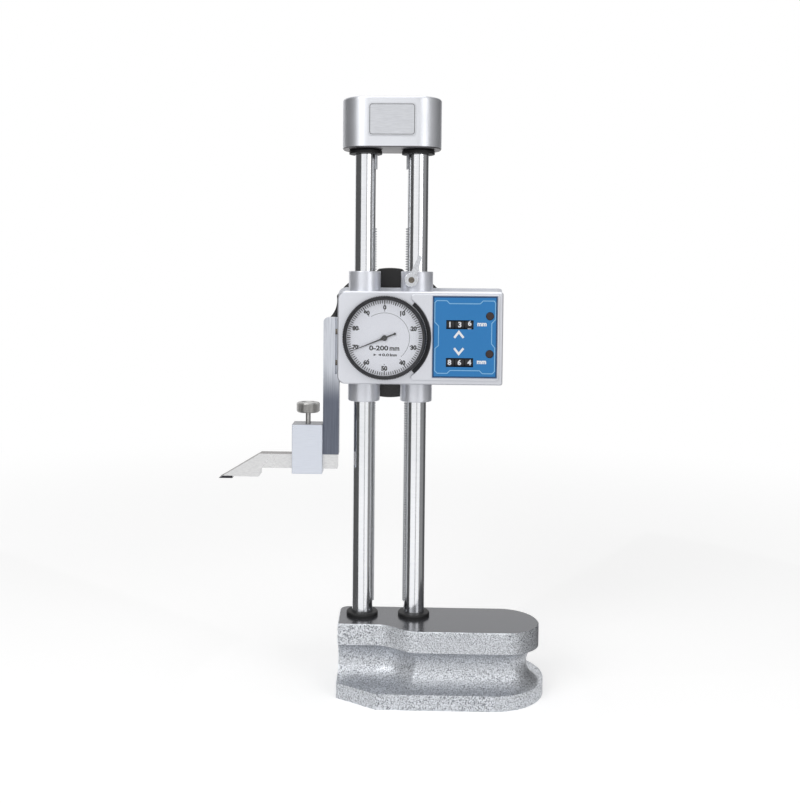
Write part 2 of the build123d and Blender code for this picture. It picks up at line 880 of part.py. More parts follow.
with BuildPart() as column_bushes:
    for side in (-1, 1):
        bush_x = side * half_spacing
        for low in (sleeve_low, sleeve_high - bush_length):
            bar_z(bush_x, 0, bush_radius, low, low + bush_length)
            bar_z(bush_x, 0, column_radius + fit_gap, low, low + bush_length, Mode.SUBTRACT)
            block(
                sorted((bush_x, side * (rack_pitch_line - bush_notch_margin))),
                (-bush_notch / 2, bush_notch / 2), (low, low + bush_length), Mode.SUBTRACT,
            )
    # Way for the clamp pad
    bar_y(clamp_x, clamp_z, clamp_screw_radius + fit_gap, 0, clamp_boss_front, Mode.SUBTRACT)
save(column_bushes, "column_bushes")

# ---------------------------------------------------------------- front plate
cover_low_z = slider_low + cover_low
cover_high_z = slider_low + cover_high
plate_low_z = slider_low + plate_low
plate_high_z = slider_low + plate_high
button_places = [(button_x, z + button_rise) for z in (counter_low_z, counter_high_z)]
opening_left = counter_space_left + opening_left_margin
opening_right = button_x + opening_right_margin
opening_low = counter_low_z - drum_radius + opening_low_margin
opening_high = counter_high_z + drum_radius + opening_high_margin

with BuildPart() as front_plate:
    with BuildSketch(front_plane(front_plate_back)) as face_outline:
        with Locations(((slider_left + slider_right) / 2, (slider_low + slider_high) / 2)):
            Rectangle(slider_right - slider_left, slider_height)
        fillet(face_outline.vertices().group_by(Axis.X)[0], slider_corner)
        fillet(face_outline.vertices().group_by(Axis.X)[-1], slider_small_corner)
    extrude(amount=front_plate_thickness)
    chamfer(front_plate.faces().sort_by(Axis.Y)[0].edges(), front_plate_chamfer)
    bar_y(*dial_centre, dial_case_radius + seat_gap, front_plate_back, slider_front, Mode.SUBTRACT)
    block(
        (opening_left, opening_right), (slider_front, front_plate_back),
        (opening_low, opening_high), Mode.SUBTRACT,
    )
    for place in button_places:
        bar_y(*place, button_flange_radius + side_gap, front_plate_back, slider_front, Mode.SUBTRACT)
    for post_x, post_z in case_screw_places:
        bar_y(
            post_x, post_z, case_screw_radius + seat_gap,
            front_plate_back, front_plate_back - case_screw_grip - shaft_end_gap, Mode.SUBTRACT,
        )
save(front_plate, "front_plate")

# ---------------------------------------------------------------- counter cover
with BuildPart() as counter_cover:
    with BuildSketch(front_plane(slider_front)) as cover_outline:
        with Locations(((cover_left + cover_right) / 2, (cover_low_z + cover_high_z) / 2)):
            Rectangle(cover_right - cover_left, cover_high_z - cover_low_z)
        with Locations(dial_centre):
            Circle(cover_arc_radius, mode=Mode.SUBTRACT)
        fillet(cover_outline.vertices(), cover_corner)
    extrude(amount=slider_front - cover_front)
    fillet(counter_cover.faces().sort_by(Axis.Y)[0].edges(), cover_round)
    # Recess for the counter plate, then the opening behind it
    block(
        (plate_left - trim_gap, plate_right + trim_gap),
        (cover_front, cover_front + plate_inset + plate_thickness),
        (plate_low_z - trim_gap, plate_high_z + trim_gap), Mode.SUBTRACT,
    )
    block(
        (opening_left, opening_right), (cover_front, slider_front),
        (opening_low, opening_high), Mode.SUBTRACT,
    )
    for place in button_places:
        bar_y(*place, button_flange_radius + side_gap, slider_front, cover_front, Mode.SUBTRACT)
save(counter_cover, "counter_cover")

plate_front = cover_front + plate_inset
plate_back = plate_front + plate_thickness
with BuildPart() as counter_plate:
    block((plate_left, plate_right), (plate_front, plate_back), (plate_low_z, plate_high_z))
    for window_z in (counter_low_z, counter_high_z):
        block(
            (counter_x - window_length / 2, counter_x + window_length / 2), (plate_front, plate_back),
            (window_z - window_height / 2, window_z + window_height / 2), Mode.SUBTRACT,
        )
    for place in button_places:
        bar_y(*place, button_radius + side_gap / 2, plate_back, plate_front, Mode.SUBTRACT)
save(counter_plate, "counter_plate")

# ---------------------------------------------------------------- rear cover
rear_low = slider_low - rear_cover_margin
rear_high = slider_high + rear_cover_margin
with BuildPart() as rear_cover:
    with BuildSketch(front_plane(rear_cover_back)) as rear_outline:
        with Locations(((rear_cover_left + rear_cover_right) / 2, (rear_low + rear_high) / 2)):
            Rectangle(rear_cover_right - rear_cover_left, rear_high - rear_low)
        fillet(rear_outline.vertices().group_by(Axis.X)[0], rear_cover_corner)
        fillet(rear_outline.vertices().group_by(Axis.X)[-1], slider_small_corner)
    extrude(amount=rear_cover_depth)
    fillet(rear_cover.faces().sort_by(Axis.Y)[-1].edges(), rear_cover_round)
    block(
        (space_left, space_right), (slider_back, rear_cover_back - rear_cover_wall),
        (space_low, space_high), Mode.SUBTRACT,
    )
    for post_x, post_z in case_screw_places:
        bar_y(post_x, post_z, case_post_radius, rear_cover_back - rear_cover_wall, slider_back)
    bar_y(*feed_shaft, feed_boss_radius, rear_cover_back + feed_boss_height, slider_back + feed_boss_inset)
    bar_y(
        *feed_shaft, feed_bush_radius + seat_gap,
        rear_cover_back + feed_boss_height, slider_back, Mode.SUBTRACT,
    )
    for post_x, post_z in case_screw_places:
        bar_y(
            post_x, post_z, case_screw_radius + seat_gap,
            rear_cover_back, slider_back, Mode.SUBTRACT,
        )
save(rear_cover, "rear_cover")

with BuildPart() as feed_bush:
    bar_y(*feed_shaft, feed_bush_radius, rear_cover_back + feed_boss_height, slider_back + feed_boss_inset)
    bar_y(
        *feed_shaft, feed_shaft_radius + fit_gap,
        rear_cover_back + feed_boss_height, slider_back + feed_boss_inset, Mode.SUBTRACT,
    )
save(feed_bush, "feed_bush")

with BuildPart() as case_screws:
    for post_x, post_z in case_screw_places:
        bar_y(post_x, post_z, case_screw_radius, rear_cover_back, front_plate_back - case_screw_grip)
        bar_y(
            post_x, post_z, case_screw_head_radius,
            rear_cover_back + case_screw_head, rear_cover_back,
        )
        with BuildSketch(front_plane(rear_cover_back + case_screw_head)) as cross:
            with Locations((post_x, post_z)):
                Rectangle(case_screw_head_radius * 1.2, case_screw_slot)
                Rectangle(case_screw_slot, case_screw_head_radius * 1.2)
        extrude(cross.sketch, amount=case_screw_head * 0.5, mode=Mode.SUBTRACT)
save(case_screws, "case_screws")

# ---------------------------------------------------------------- dial
bezel_seat_back = bezel_back - bezel_hook
bezel_seat_front = bezel_front + bezel_lip
dial_case_front = bezel_seat_back - shaft_end_gap - dial_case_flange
dial_face_back = dial_case_front - shaft_end_gap
dial_face_front = dial_face_back - dial_face_thickness
crystal_front = bezel_seat_front
crystal_back = crystal_front + crystal_thickness
pointer_back = (dial_face_front + crystal_back) / 2 + pointer_thickness / 2

with BuildPart() as dial_case:
    bar_y(*dial_centre, dial_case_radius, dial_case_back, dial_case_front)
    bar_y(*dial_centre, dial_case_flange_radius, dial_case_front + dial_case_flange, dial_case_front)
    bar_y(
        *dial_centre, dial_case_bore, dial_case_back - dial_case_web, dial_case_front, Mode.SUBTRACT,
    )
    bar_y(*dial_centre, arbor_radius + side_gap, dial_case_back, dial_case_front, Mode.SUBTRACT)
save(dial_case, "dial_case")

with BuildPart() as bezel:
    bar_y(*dial_centre, bezel_radius, bezel_back, bezel_front)
    outer_rims = bezel.edges().filter_by(GeomType.CIRCLE)
    chamfer(outer_rims.group_by(Axis.Y)[0], bezel_chamfer)
    bar_y(*dial_centre, bezel_hook_radius, bezel_back, bezel_seat_back, Mode.SUBTRACT)
    bar_y(*dial_centre, bezel_seat_radius, bezel_seat_back, bezel_seat_front, Mode.SUBTRACT)
    bar_y(*dial_centre, bezel_lip_radius, bezel_seat_front, bezel_front, Mode.SUBTRACT)
save(bezel, "bezel")

with BuildPart() as dial_face:
    bar_y(*dial_centre, bezel_seat_radius - seat_gap, dial_face_back, dial_face_front)
    bar_y(*dial_centre, arbor_radius + side_gap, dial_face_back, dial_face_front, Mode.SUBTRACT)
save(dial_face, "dial_face")

with BuildPart() as crystal:
    bar_y(*dial_centre, bezel_seat_radius - seat_gap, crystal_back, crystal_front)
save(crystal, "crystal")

needle = radians(90 - pointer_angle)


def along_needle(reach, aside):
    """Place on the dial at reach along the needle and aside to its left."""
    return (
        dial_centre[0] + reach * cos(needle) - aside * sin(needle),
        dial_centre[1] + reach * sin(needle) + aside * cos(needle),
    )


needle_reaches = (-pointer_tail, -pointer_hub_radius, 0, pointer_shoulder, pointer_length)
needle_profile = list(zip(needle_reaches, pointer_half_widths))

with BuildPart() as pointer:
    with BuildSketch(front_plane(pointer_back)):
        with BuildLine():
            Polyline(
                *[along_needle(reach, half) for reach, half in needle_profile],
                *[along_needle(reach, -half) for reach, half in reversed(needle_profile)],
                close=True,
            )
        make_face()
        with Locations(dial_centre):
            Circle(pointer_hub_radius)
        with Locations(along_needle(-pointer_tail, 0)):
            Circle(pointer_tail_ball)
    extrude(amount=pointer_thickness)
    bar_y(*dial_centre, arbor_radius, pointer_back, pointer_back - pointer_thickness, Mode.SUBTRACT)
save(pointer, "pointer")

# ---------------------------------------------------------------- dial train
rack_pinion_phase = 0.0
feed_pinion_phase = 180.0
first_gear_phase = 0.0
intermediate_phase = mating_phase(
    first_gear_teeth, first_gear_phase, intermediate_pinion_teeth, angle_to(rack_shaft, intermediate)
)
counter_gear_phase = mating_phase(
    first_gear_teeth, first_gear_phase, counter_gear_teeth, angle_to(rack_shaft, counter_drive)
)
second_gear_phase = 0.0
arbor_phase = mating_phase(
    second_gear_teeth, second_gear_phase, arbor_pinion_teeth, angle_to(intermediate, dial_centre)
)

with BuildPart() as rack_pinion:
    gear_y(rack_shaft, rack_pinion_teeth, rack_module, rack_pinion_phase, pinion_width / 2, pinion_width)
    bar_y(*rack_shaft, train_shaft_radius, pinion_width / 2, gear_plane - gear_width - gear_shaft_overhang)
save(rack_pinion, "rack_pinion")

with BuildPart() as first_gear:
    gear_y(rack_shaft, first_gear_teeth, gear_module, first_gear_phase, gear_plane, gear_width)
    bar_y(*rack_shaft, train_shaft_radius, gear_plane, gear_plane - gear_width, Mode.SUBTRACT)
    with BuildSketch(front_plane(gear_plane)) as lightening:
        with Locations(Location((rack_shaft[0], rack_shaft[1]))):
            with PolarLocations(first_gear_hole_circle, gear_holes):
                Circle(first_gear_hole_radius)
    extrude(lightening.sketch, amount=gear_width, mode=Mode.SUBTRACT)
save(first_gear, "first_gear")

with BuildPart() as intermediate_pinion:
    gear_y(
        intermediate, intermediate_pinion_teeth, gear_module, intermediate_phase,
        gear_plane + pinion_overhang, gear_width + 2 * pinion_overhang,
    )
    bar_y(
        *intermediate, train_shaft_radius,
        gear_space_back + intermediate_bearing_depth - shaft_end_gap, bridge_back - bridge_thickness,
    )
save(intermediate_pinion, "intermediate_pinion")

with BuildPart() as second_gear:
    gear_y(
        intermediate, second_gear_teeth, gear_module, second_gear_phase, second_gear_plane, gear_width,
    )
    bar_y(
        *intermediate, train_shaft_radius, second_gear_plane, second_gear_plane - gear_width,
        Mode.SUBTRACT,
    )
    with BuildSketch(front_plane(second_gear_plane)) as lightening:
        with Locations(Location((intermediate[0], intermediate[1]))):
            with PolarLocations(second_gear_hole_circle, gear_holes):
                Circle(second_gear_hole_radius)
    extrude(lightening.sketch, amount=gear_width, mode=Mode.SUBTRACT)
save(second_gear, "second_gear")

with BuildPart() as pointer_arbor:
    gear_y(
        dial_centre, arbor_pinion_teeth, gear_module, arbor_phase,
        second_gear_plane + pinion_overhang, gear_width + 2 * pinion_overhang,
    )
    bar_y(
        *dial_centre, arbor_radius,
        gear_space_back + arbor_bearing_depth - shaft_end_gap, pointer_back - pointer_thickness,
    )
save(pointer_arbor, "pointer_arbor")

with BuildPart() as gear_bridge:
    bar_y(*dial_centre, bridge_radius, bridge_back, bridge_back - bridge_thickness)
    for post_x, post_z in bridge_posts:
        bar_y(
            dial_centre[0] + post_x, dial_centre[1] + post_z, bridge_post_radius,
            gear_space_back, bridge_back,
        )
    bar_y(
        *dial_centre, arbor_radius + fit_gap, bridge_back, bridge_back - bridge_thickness, Mode.SUBTRACT,
    )
    bar_y(
        *intermediate, train_shaft_radius + fit_gap,
        bridge_back, bridge_back - bridge_thickness, Mode.SUBTRACT,
    )
save(gear_bridge, "gear_bridge")

# ---------------------------------------------------------------- counter drive
bevel_apex_y = counter_axis_y
bevel_big_y = counter_axis_y - bevel_radius

with BuildPart() as counter_drive_shaft:
    gear_y(
        counter_drive, counter_gear_teeth, gear_module, counter_gear_phase, gear_plane, gear_width,
    )
    bar_y(
        *counter_drive, train_shaft_radius,
        gear_space_back + drive_bearing_depth - shaft_end_gap, bevel_big_y - bevel_hub,
    )
    # Mitre gear that faces the rear
    with BuildSketch(front_plane(bevel_apex_y - bevel_radius * bevel_face_share)) as small_end:
        with BuildLine(Location((counter_drive[0], counter_drive[1]))):
            Polyline(*bevel_points(bevel_face_share, 0.0), close=True)
        make_face()
    with BuildSketch(front_plane(bevel_big_y)) as large_end:
        with BuildLine(Location((counter_drive[0], counter_drive[1]))):
            Polyline(*bevel_points(1.0, 0.0), close=True)
        make_face()
    loft(sections=[small_end.sketch, large_end.sketch], ruled=True)
    bar_y(*counter_drive, bevel_radius * bevel_hub_share, bevel_big_y, bevel_big_y - bevel_hub)
save(counter_drive_shaft, "counter_drive_shaft")

bevel_big_x = counter_drive[0] + bevel_radius
bevel_small_x = counter_drive[0] + bevel_radius * bevel_face_share
frame_end_x = frame_right_x + frame_plate


def make_counter_shaft(axis_z, left_x, with_bevel):
    """Drum shaft with its transfer wheel, and with the mitre gear on the driven one."""
    with BuildPart() as shaft:
        bar_x(counter_axis_y, axis_z, counter_shaft_radius, left_x, frame_end_x)
        gear_x(
            (counter_axis_y, axis_z), counter_wheel_teeth, counter_wheel_module, 0.0,
            counter_wheel_x, counter_wheel_width,
        )
        if with_bevel:
            gap_phase = 180.0 + 180.0 / bevel_teeth
            with BuildSketch(Plane.YZ.offset(bevel_small_x)) as small_end:
                with BuildLine(Location((counter_axis_y, axis_z))):
                    Polyline(*bevel_points(bevel_face_share, gap_phase), close=True)
                make_face()
            with BuildSketch(Plane.YZ.offset(bevel_big_x)) as large_end:
                with BuildLine(Location((counter_axis_y, axis_z))):
                    Polyline(*bevel_points(1.0, gap_phase), close=True)
                make_face()
            loft(sections=[small_end.sketch, large_end.sketch], ruled=True)
            bar_x(
                counter_axis_y, axis_z, bevel_radius * bevel_hub_share,
                bevel_big_x, bevel_big_x + bevel_hub,
            )
    return shaft


save(make_counter_shaft(counter_low_z, bevel_small_x + counter_shaft_lead, True), "lower_counter_shaft")
save(make_counter_shaft(counter_high_z, frame_left_x, False), "upper_counter_shaft")

idler_phase = mating_phase(counter_wheel_teeth, 0.0, counter_wheel_teeth, 90.0)
with BuildPart() as idler_wheel:
    gear_x(
        (counter_axis_y, idler_z), counter_wheel_teeth, counter_wheel_module, idler_phase,
        counter_wheel_x, counter_wheel_width,
    )
    bar_x(counter_axis_y, idler_z, counter_shaft_radius, counter_wheel_x - idler_shaft_lead, frame_end_x)
save(idler_wheel, "idler_wheel")


def make_drum(axis_z, drum_x, bore_radius):
    """Number drum; the digits are on its rim."""
    with BuildPart() as drum:
        left = drum_x - drum_width / 2
        right = drum_x + drum_width / 2
        bar_x(counter_axis_y, axis_z, drum_radius, left, right)
        bar_x(counter_axis_y, axis_z, drum_radius - drum_rim, left, left + drum_recess, Mode.SUBTRACT)
        bar_x(counter_axis_y, axis_z, drum_hub_radius, left, left + drum_recess)
        bar_x(counter_axis_y, axis_z, bore_radius, left, right, Mode.SUBTRACT)
    return drum


for counter_name, counter_z in (("lower", counter_low_z), ("upper", counter_high_z)):
    for place, drum_name in enumerate(("hundreds", "tens", "units")):
        loose = 0.0 if drum_name == "units" else fit_gap
        drum_x = counter_x + (place - 1) * drum_pitch
        save(
            make_drum(counter_z, drum_x, counter_shaft_radius + loose),
            f"{counter_name}_{drum_name}_drum",
        )

with BuildPart() as counter_frame:
    frame_low = counter_low_z - frame_half_depth
    frame_high = counter_high_z + frame_half_depth
    plate_rear_y = counter_space_back
    block(
        (frame_left_x, frame_end_x), (plate_rear_y - frame_plate, plate_rear_y),
        (frame_low, frame_high),
    )
    side_front = counter_axis_y - frame_half_depth
    for left in (frame_left_x, frame_right_x):
        block((left, left + frame_plate), (side_front, plate_rear_y), (frame_low, frame_high))
    for place in button_places:
        block(
            (frame_end_x, button_x + guide_reach), (guide_front, guide_front + guide_thickness),
            (place[1] - guide_half_height, place[1] + guide_half_height),
        )
        bar_y(
            *place, button_stem_radius + fit_gap, guide_front + guide_thickness, guide_front,
            Mode.SUBTRACT,
        )
    for axis_z in (counter_low_z, counter_high_z):
        bar_x(
            counter_axis_y, axis_z, counter_shaft_radius + fit_gap,
            frame_left_x, frame_end_x, Mode.SUBTRACT,
        )
    bar_x(
        counter_axis_y, idler_z, counter_shaft_radius + fit_gap,
        frame_right_x, frame_end_x, Mode.SUBTRACT,
    )
save(counter_frame, "counter_frame")

# ---------------------------------------------------------------- reset buttons
button_front = plate_front + button_inset
button_flange_front = plate_back + button_flange_gap
for button_name, place in zip(("lower", "upper"), button_places):
    with BuildPart() as button:
        bar_y(*place, button_radius, button_flange_front, button_front)
        fillet(button.edges().filter_by(GeomType.CIRCLE).group_by(Axis.Y)[0], button_round)
        bar_y(
            *place, button_flange_radius, button_flange_front + button_flange, button_flange_front,
        )
        bar_y(
            *place, button_stem_radius, guide_front + guide_thickness, button_flange_front,
        )
    save(button, f"{button_name}_reset_button")
    spring_back = guide_front - button_travel - running_gap
    spring_front = button_flange_front + button_flange
    spring_height = spring_back - spring_front - spring_wire
    with BuildPart() as spring:
        with BuildLine() as coil:
            Helix(
                spring_height / spring_turns, spring_height, spring_radius,
                center=(place[0], spring_front + spring_wire / 2, place[1]), direction=(0, 1, 0),
            )
        with BuildSketch(Plane(origin=coil.line @ 0, z_dir=coil.line % 0)):
            Circle(spring_wire / 2)
        sweep(path=coil.line)
    save(spring, f"{button_name}_reset_spring")

# ---------------------------------------------------------------- feed wheel
with BuildPart() as feed_pinion:
    gear_y(
        feed_shaft, feed_pinion_teeth, rack_module, feed_pinion_phase, pinion_width / 2, pinion_width,
    )
    bar_y(*feed_shaft, feed_journal_radius, pinion_width / 2, feed_journal_front)
    bar_y(*feed_shaft, feed_shaft_radius, handwheel_back, pinion_width / 2)
    bar_y(
        *feed_shaft, handwheel_screw_radius + seat_gap, handwheel_back,
        handwheel_back - handwheel_screw_length - hole_run_out, Mode.SUBTRACT,
    )
save(feed_pinion, "feed_pinion")

handwheel_hub_front = rear_cover_back + feed_boss_height + side_gap
with BuildPart() as handwheel:
    with BuildSketch(front_plane(handwheel_back)) as wheel_outline:
        with Locations(feed_shaft):
            Circle(handwheel_radius)
        scallop_centre = handwheel_radius + handwheel_scallop_radius - handwheel_scallop_depth
        with Locations(Location((feed_shaft[0], feed_shaft[1]))):
            with PolarLocations(scallop_centre, handwheel_lobes, start_angle=180 / handwheel_lobes):
                Circle(handwheel_scallop_radius, mode=Mode.SUBTRACT)
        fillet(wheel_outline.vertices(), handwheel_lobe_round)
    extrude(amount=handwheel_thickness)
    fillet(handwheel.faces().sort_by(Axis.Y)[0].edges(), handwheel_rim_round)
    fillet(handwheel.faces().sort_by(Axis.Y)[-1].edges(), handwheel_rim_round)
    # Dished rear face
    bar_y(
        *feed_shaft, handwheel_radius - handwheel_rim_width,
        handwheel_back, handwheel_back - handwheel_dish, Mode.SUBTRACT,
    )
    bar_y(*feed_shaft, handwheel_hub_radius, handwheel_back, handwheel_hub_front)
    bar_y(
        *feed_shaft, feed_shaft_radius + seat_gap,
        handwheel_back, handwheel_hub_front, Mode.SUBTRACT,
    )
save(handwheel, "handwheel")

with BuildPart() as handwheel_screw:
    bar_y(*feed_shaft, handwheel_screw_radius, handwheel_back, handwheel_back - handwheel_screw_length)
    bar_y(
        *feed_shaft, handwheel_screw_head_radius, handwheel_back + handwheel_screw_head, handwheel_back,
    )
    fillet(handwheel_screw.edges().filter_by(GeomType.CIRCLE).group_by(Axis.Y)[-1], edge_break)
    with BuildSketch(front_plane(handwheel_back + handwheel_screw_head)) as slot:
        with Locations(feed_shaft):
            Rectangle(handwheel_screw_head_radius * 2.2, handwheel_screw_slot)
    extrude(slot.sketch, amount=handwheel_screw_head * 0.45, mode=Mode.SUBTRACT)
save(handwheel_screw, "handwheel_screw")

# ---------------------------------------------------------------- column clamp
clamp_hub_back = clamp_boss_front - running_gap
clamp_hub_front = clamp_hub_back - clamp_hub_depth
lever_turn = radians(90 - lever_angle)


def along_lever(reach, aside):
    return (
        clamp_x + reach * cos(lever_turn) - aside * sin(lever_turn),
        clamp_z + reach * sin(lever_turn) + aside * cos(lever_turn),
    )


with BuildPart() as clamp_lever:
    with BuildSketch(front_plane(clamp_hub_back - (clamp_hub_depth - lever_thickness) / 2)):
        with BuildLine():
            Polyline(
                along_lever(0, lever_root_width / 2),
                along_lever(lever_length, lever_tip_width / 2),
                along_lever(lever_length, -lever_tip_width / 2),
                along_lever(0, -lever_root_width / 2),
                close=True,
            )
        make_face()
        with Locations(along_lever(lever_length, 0)):
            Circle(lever_tip_width / 2)
    extrude(amount=lever_thickness)
    bar_y(clamp_x, clamp_z, clamp_hub_radius, clamp_hub_back, clamp_hub_front)
    fillet(clamp_lever.edges().filter_by(GeomType.CIRCLE).group_by(Axis.Y)[0], clamp_hub_round)
    bar_y(
        clamp_x, clamp_z, clamp_screw_radius + seat_gap,
        clamp_hub_back, clamp_hub_front, Mode.SUBTRACT,
    )
save(clamp_lever, "clamp_lever")

pad_front = -sqrt((column_radius + fit_gap) ** 2 - (half_spacing - clamp_x) ** 2) - clamp_pad_length
with BuildPart() as clamp_screw:
    bar_y(
        clamp_x, clamp_z, clamp_screw_radius,
        pad_front - running_gap, clamp_hub_front - clamp_screw_inset,
    )
    with BuildSketch(front_plane(clamp_hub_front - clamp_screw_inset)) as slot:
        with Locations((clamp_x, clamp_z)):
            Rectangle(clamp_screw_radius * 3, clamp_slot)
    extrude(slot.sketch, amount=-clamp_slot_depth, mode=Mode.SUBTRACT)
save(clamp_screw, "clamp_screw")

with BuildPart() as clamp_pad:
    bar_y(clamp_x, clamp_z, clamp_screw_radius, 0, pad_front)
    bar_z(
        half_spacing, 0, column_radius + clamp_pad_gap,
        clamp_z - clamp_boss_radius, clamp_z + clamp_boss_radius, Mode.SUBTRACT,
    )
save(clamp_pad, "clamp_pad")

# ---------------------------------------------------------------- scriber arm
arm_high = slider_low + arm_top
with BuildPart() as scriber_arm:
    with BuildSketch(front_plane(arm_half_depth)) as arm_outline:
        with BuildLine():
            Polyline(
                (arm_right, foot_low),
                (arm_right, arm_high),
                (arm_left, arm_high),
                (arm_left, foot_high),
                (arm_left - arm_foot_length, foot_high),
                (arm_left - arm_foot_length, foot_low),
                close=True,
            )
        make_face()
        fillet(
            arm_outline.vertices().group_by(Axis.Y)[-1].sort_by(Axis.X)[0],
            arm_corner,
        )
    extrude(amount=2 * arm_half_depth)
    # Relief groove along the slider
    block(
        (arm_right - arm_groove_width, arm_right),
        (-arm_half_depth, -arm_half_depth + arm_groove_depth),
        (slider_low + arm_groove_low, arm_high), Mode.SUBTRACT,
    )
    for rise in arm_screw_rises:
        screw_z = slider_low + rise
        bar_x(0, screw_z, arm_screw_radius + seat_gap, arm_left, arm_right, Mode.SUBTRACT)
        bar_x(
            0, screw_z, arm_screw_head_radius + seat_gap,
            arm_left, arm_left + arm_screw_head, Mode.SUBTRACT,
        )
save(scriber_arm, "scriber_arm")

with BuildPart() as arm_screws:
    for rise in arm_screw_rises:
        screw_z = slider_low + rise
        bar_x(0, screw_z, arm_screw_radius, arm_left + arm_screw_head, slider_left + arm_screw_grip)
        bar_x(0, screw_z, arm_screw_head_radius, arm_left, arm_left + arm_screw_head)
        with BuildSketch(Plane.YZ.offset(arm_left)) as socket:
            with Locations((0, screw_z)):
                RegularPolygon(arm_socket_radius, 6)
        extrude(socket.sketch, amount=arm_socket_depth, mode=Mode.SUBTRACT)
save(arm_screws, "arm_screws")

# ---------------------------------------------------------------- scriber
tip_x = -scriber_reach
tip_high = tip_low + tip_thickness
bevel_run = scriber_reach - scriber_step_x
bevel_slope = (scriber_high - tip_low) / bevel_run
tip_top_x = tip_x + tip_thickness / bevel_slope
tip_back_x = tip_x + tip_length
nose_low = scriber_low - scriber_nose_drop

with BuildPart() as scriber:
    with BuildSketch(front_plane(scriber_half_depth)) as scriber_outline:
        with BuildLine():
            Polyline(
                (tip_top_x, tip_high),
                (tip_back_x, tip_high),
                (tip_back_x, nose_low),
                (-scriber_step_x, nose_low),
                (-scriber_step_x, scriber_low),
                (-scriber_end, scriber_low),
                (-scriber_end, scriber_high),
                (-scriber_step_x, scriber_high),
                close=True,
            )
        make_face()
        nose_corner = scriber_outline.vertices().group_by(Axis.Y)[0].sort_by(Axis.X)[-1]
        fillet(nose_corner, scriber_nose_round)
    extrude(amount=2 * scriber_half_depth)
save(scriber, "scriber")

with BuildPart() as scriber_tip:
    with BuildSketch(front_plane(scriber_half_depth)):
        with BuildLine():
            Polyline(
                (tip_x, tip_low),
                (tip_back_x, tip_low),
                (tip_back_x, tip_high),
                (tip_top_x, tip_high),
                close=True,
            )
        make_face()
    extrude(amount=2 * scriber_half_depth)
save(scriber_tip, "scriber_tip")

with BuildPart() as scriber_clamp:
    block(
        (clamp_box_right - clamp_box_length, clamp_box_right),
        (-clamp_box_half_depth, clamp_box_half_depth),
        (clamp_box_low, clamp_box_high),
    )
    chamfer(scriber_clamp.edges(), clamp_box_chamfer)
    block(
        (clamp_box_right - clamp_box_length, clamp_box_right),
        (-arm_half_depth - clamp_box_gap, arm_half_depth + clamp_box_gap),
        (clamp_box_low + clamp_box_floor, clamp_box_inner_high), Mode.SUBTRACT,
    )
    bar_z(clamp_box_x, 0, thumb_shank_radius + fit_gap, clamp_box_inner_high, clamp_box_high, Mode.SUBTRACT)
save(scriber_clamp, "scriber_clamp")

with BuildPart() as thumb_screw:
    thumb_low = clamp_box_high + thumb_neck
    bar_z(clamp_box_x, 0, thumb_radius, thumb_low, thumb_low + thumb_head)
    chamfer(thumb_screw.edges().filter_by(GeomType.CIRCLE), edge_break)
    bar_z(clamp_box_x, 0, thumb_shank_radius, foot_high + running_gap, thumb_low)
save(thumb_screw, "thumb_screw")
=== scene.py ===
import json
import math

import bmesh
import bpy
from mathutils import Matrix, Vector


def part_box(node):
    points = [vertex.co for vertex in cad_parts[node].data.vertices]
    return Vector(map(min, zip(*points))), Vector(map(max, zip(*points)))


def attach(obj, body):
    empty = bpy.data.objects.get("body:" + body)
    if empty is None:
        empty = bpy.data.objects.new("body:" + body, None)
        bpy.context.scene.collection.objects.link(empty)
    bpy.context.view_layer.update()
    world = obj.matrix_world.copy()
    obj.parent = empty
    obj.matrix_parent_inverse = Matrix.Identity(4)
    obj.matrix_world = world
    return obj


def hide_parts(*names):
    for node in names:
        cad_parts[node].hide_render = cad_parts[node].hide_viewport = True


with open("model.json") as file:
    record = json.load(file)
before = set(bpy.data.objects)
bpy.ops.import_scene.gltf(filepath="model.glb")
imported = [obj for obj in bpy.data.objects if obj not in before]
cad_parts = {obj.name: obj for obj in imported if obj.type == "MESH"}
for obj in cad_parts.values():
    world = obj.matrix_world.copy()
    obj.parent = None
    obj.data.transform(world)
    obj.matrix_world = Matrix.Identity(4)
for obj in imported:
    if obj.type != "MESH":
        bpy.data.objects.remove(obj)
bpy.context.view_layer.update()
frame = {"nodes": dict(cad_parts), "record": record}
mm = 0.001


def paintColour(red, green, blue):
    # eight bit paint values to the linear values that sockets take
    channels = []
    for value in (red, green, blue):
        part = value / 255
        channels.append(part / 12.92 if part <= 0.04045 else ((part + 0.055) / 1.055) ** 2.4)
    return (*channels, 1.0)


# Shader groups that several finishes share
def newGroup(name, inputs, outputs):
    group = bpy.data.node_groups.new(name, "ShaderNodeTree")
    for label, kind, value in inputs:
        socket = group.interface.new_socket(name=label, in_out="INPUT", socket_type=kind)
        if value is not None:
            socket.default_value = value
    for label, kind in outputs:
        group.interface.new_socket(name=label, in_out="OUTPUT", socket_type=kind)
    start = group.nodes.new("NodeGroupInput")
    end = group.nodes.new("NodeGroupOutput")
    start.location = (-700, 0)
    end.location = (500, 0)
    return group, start, end


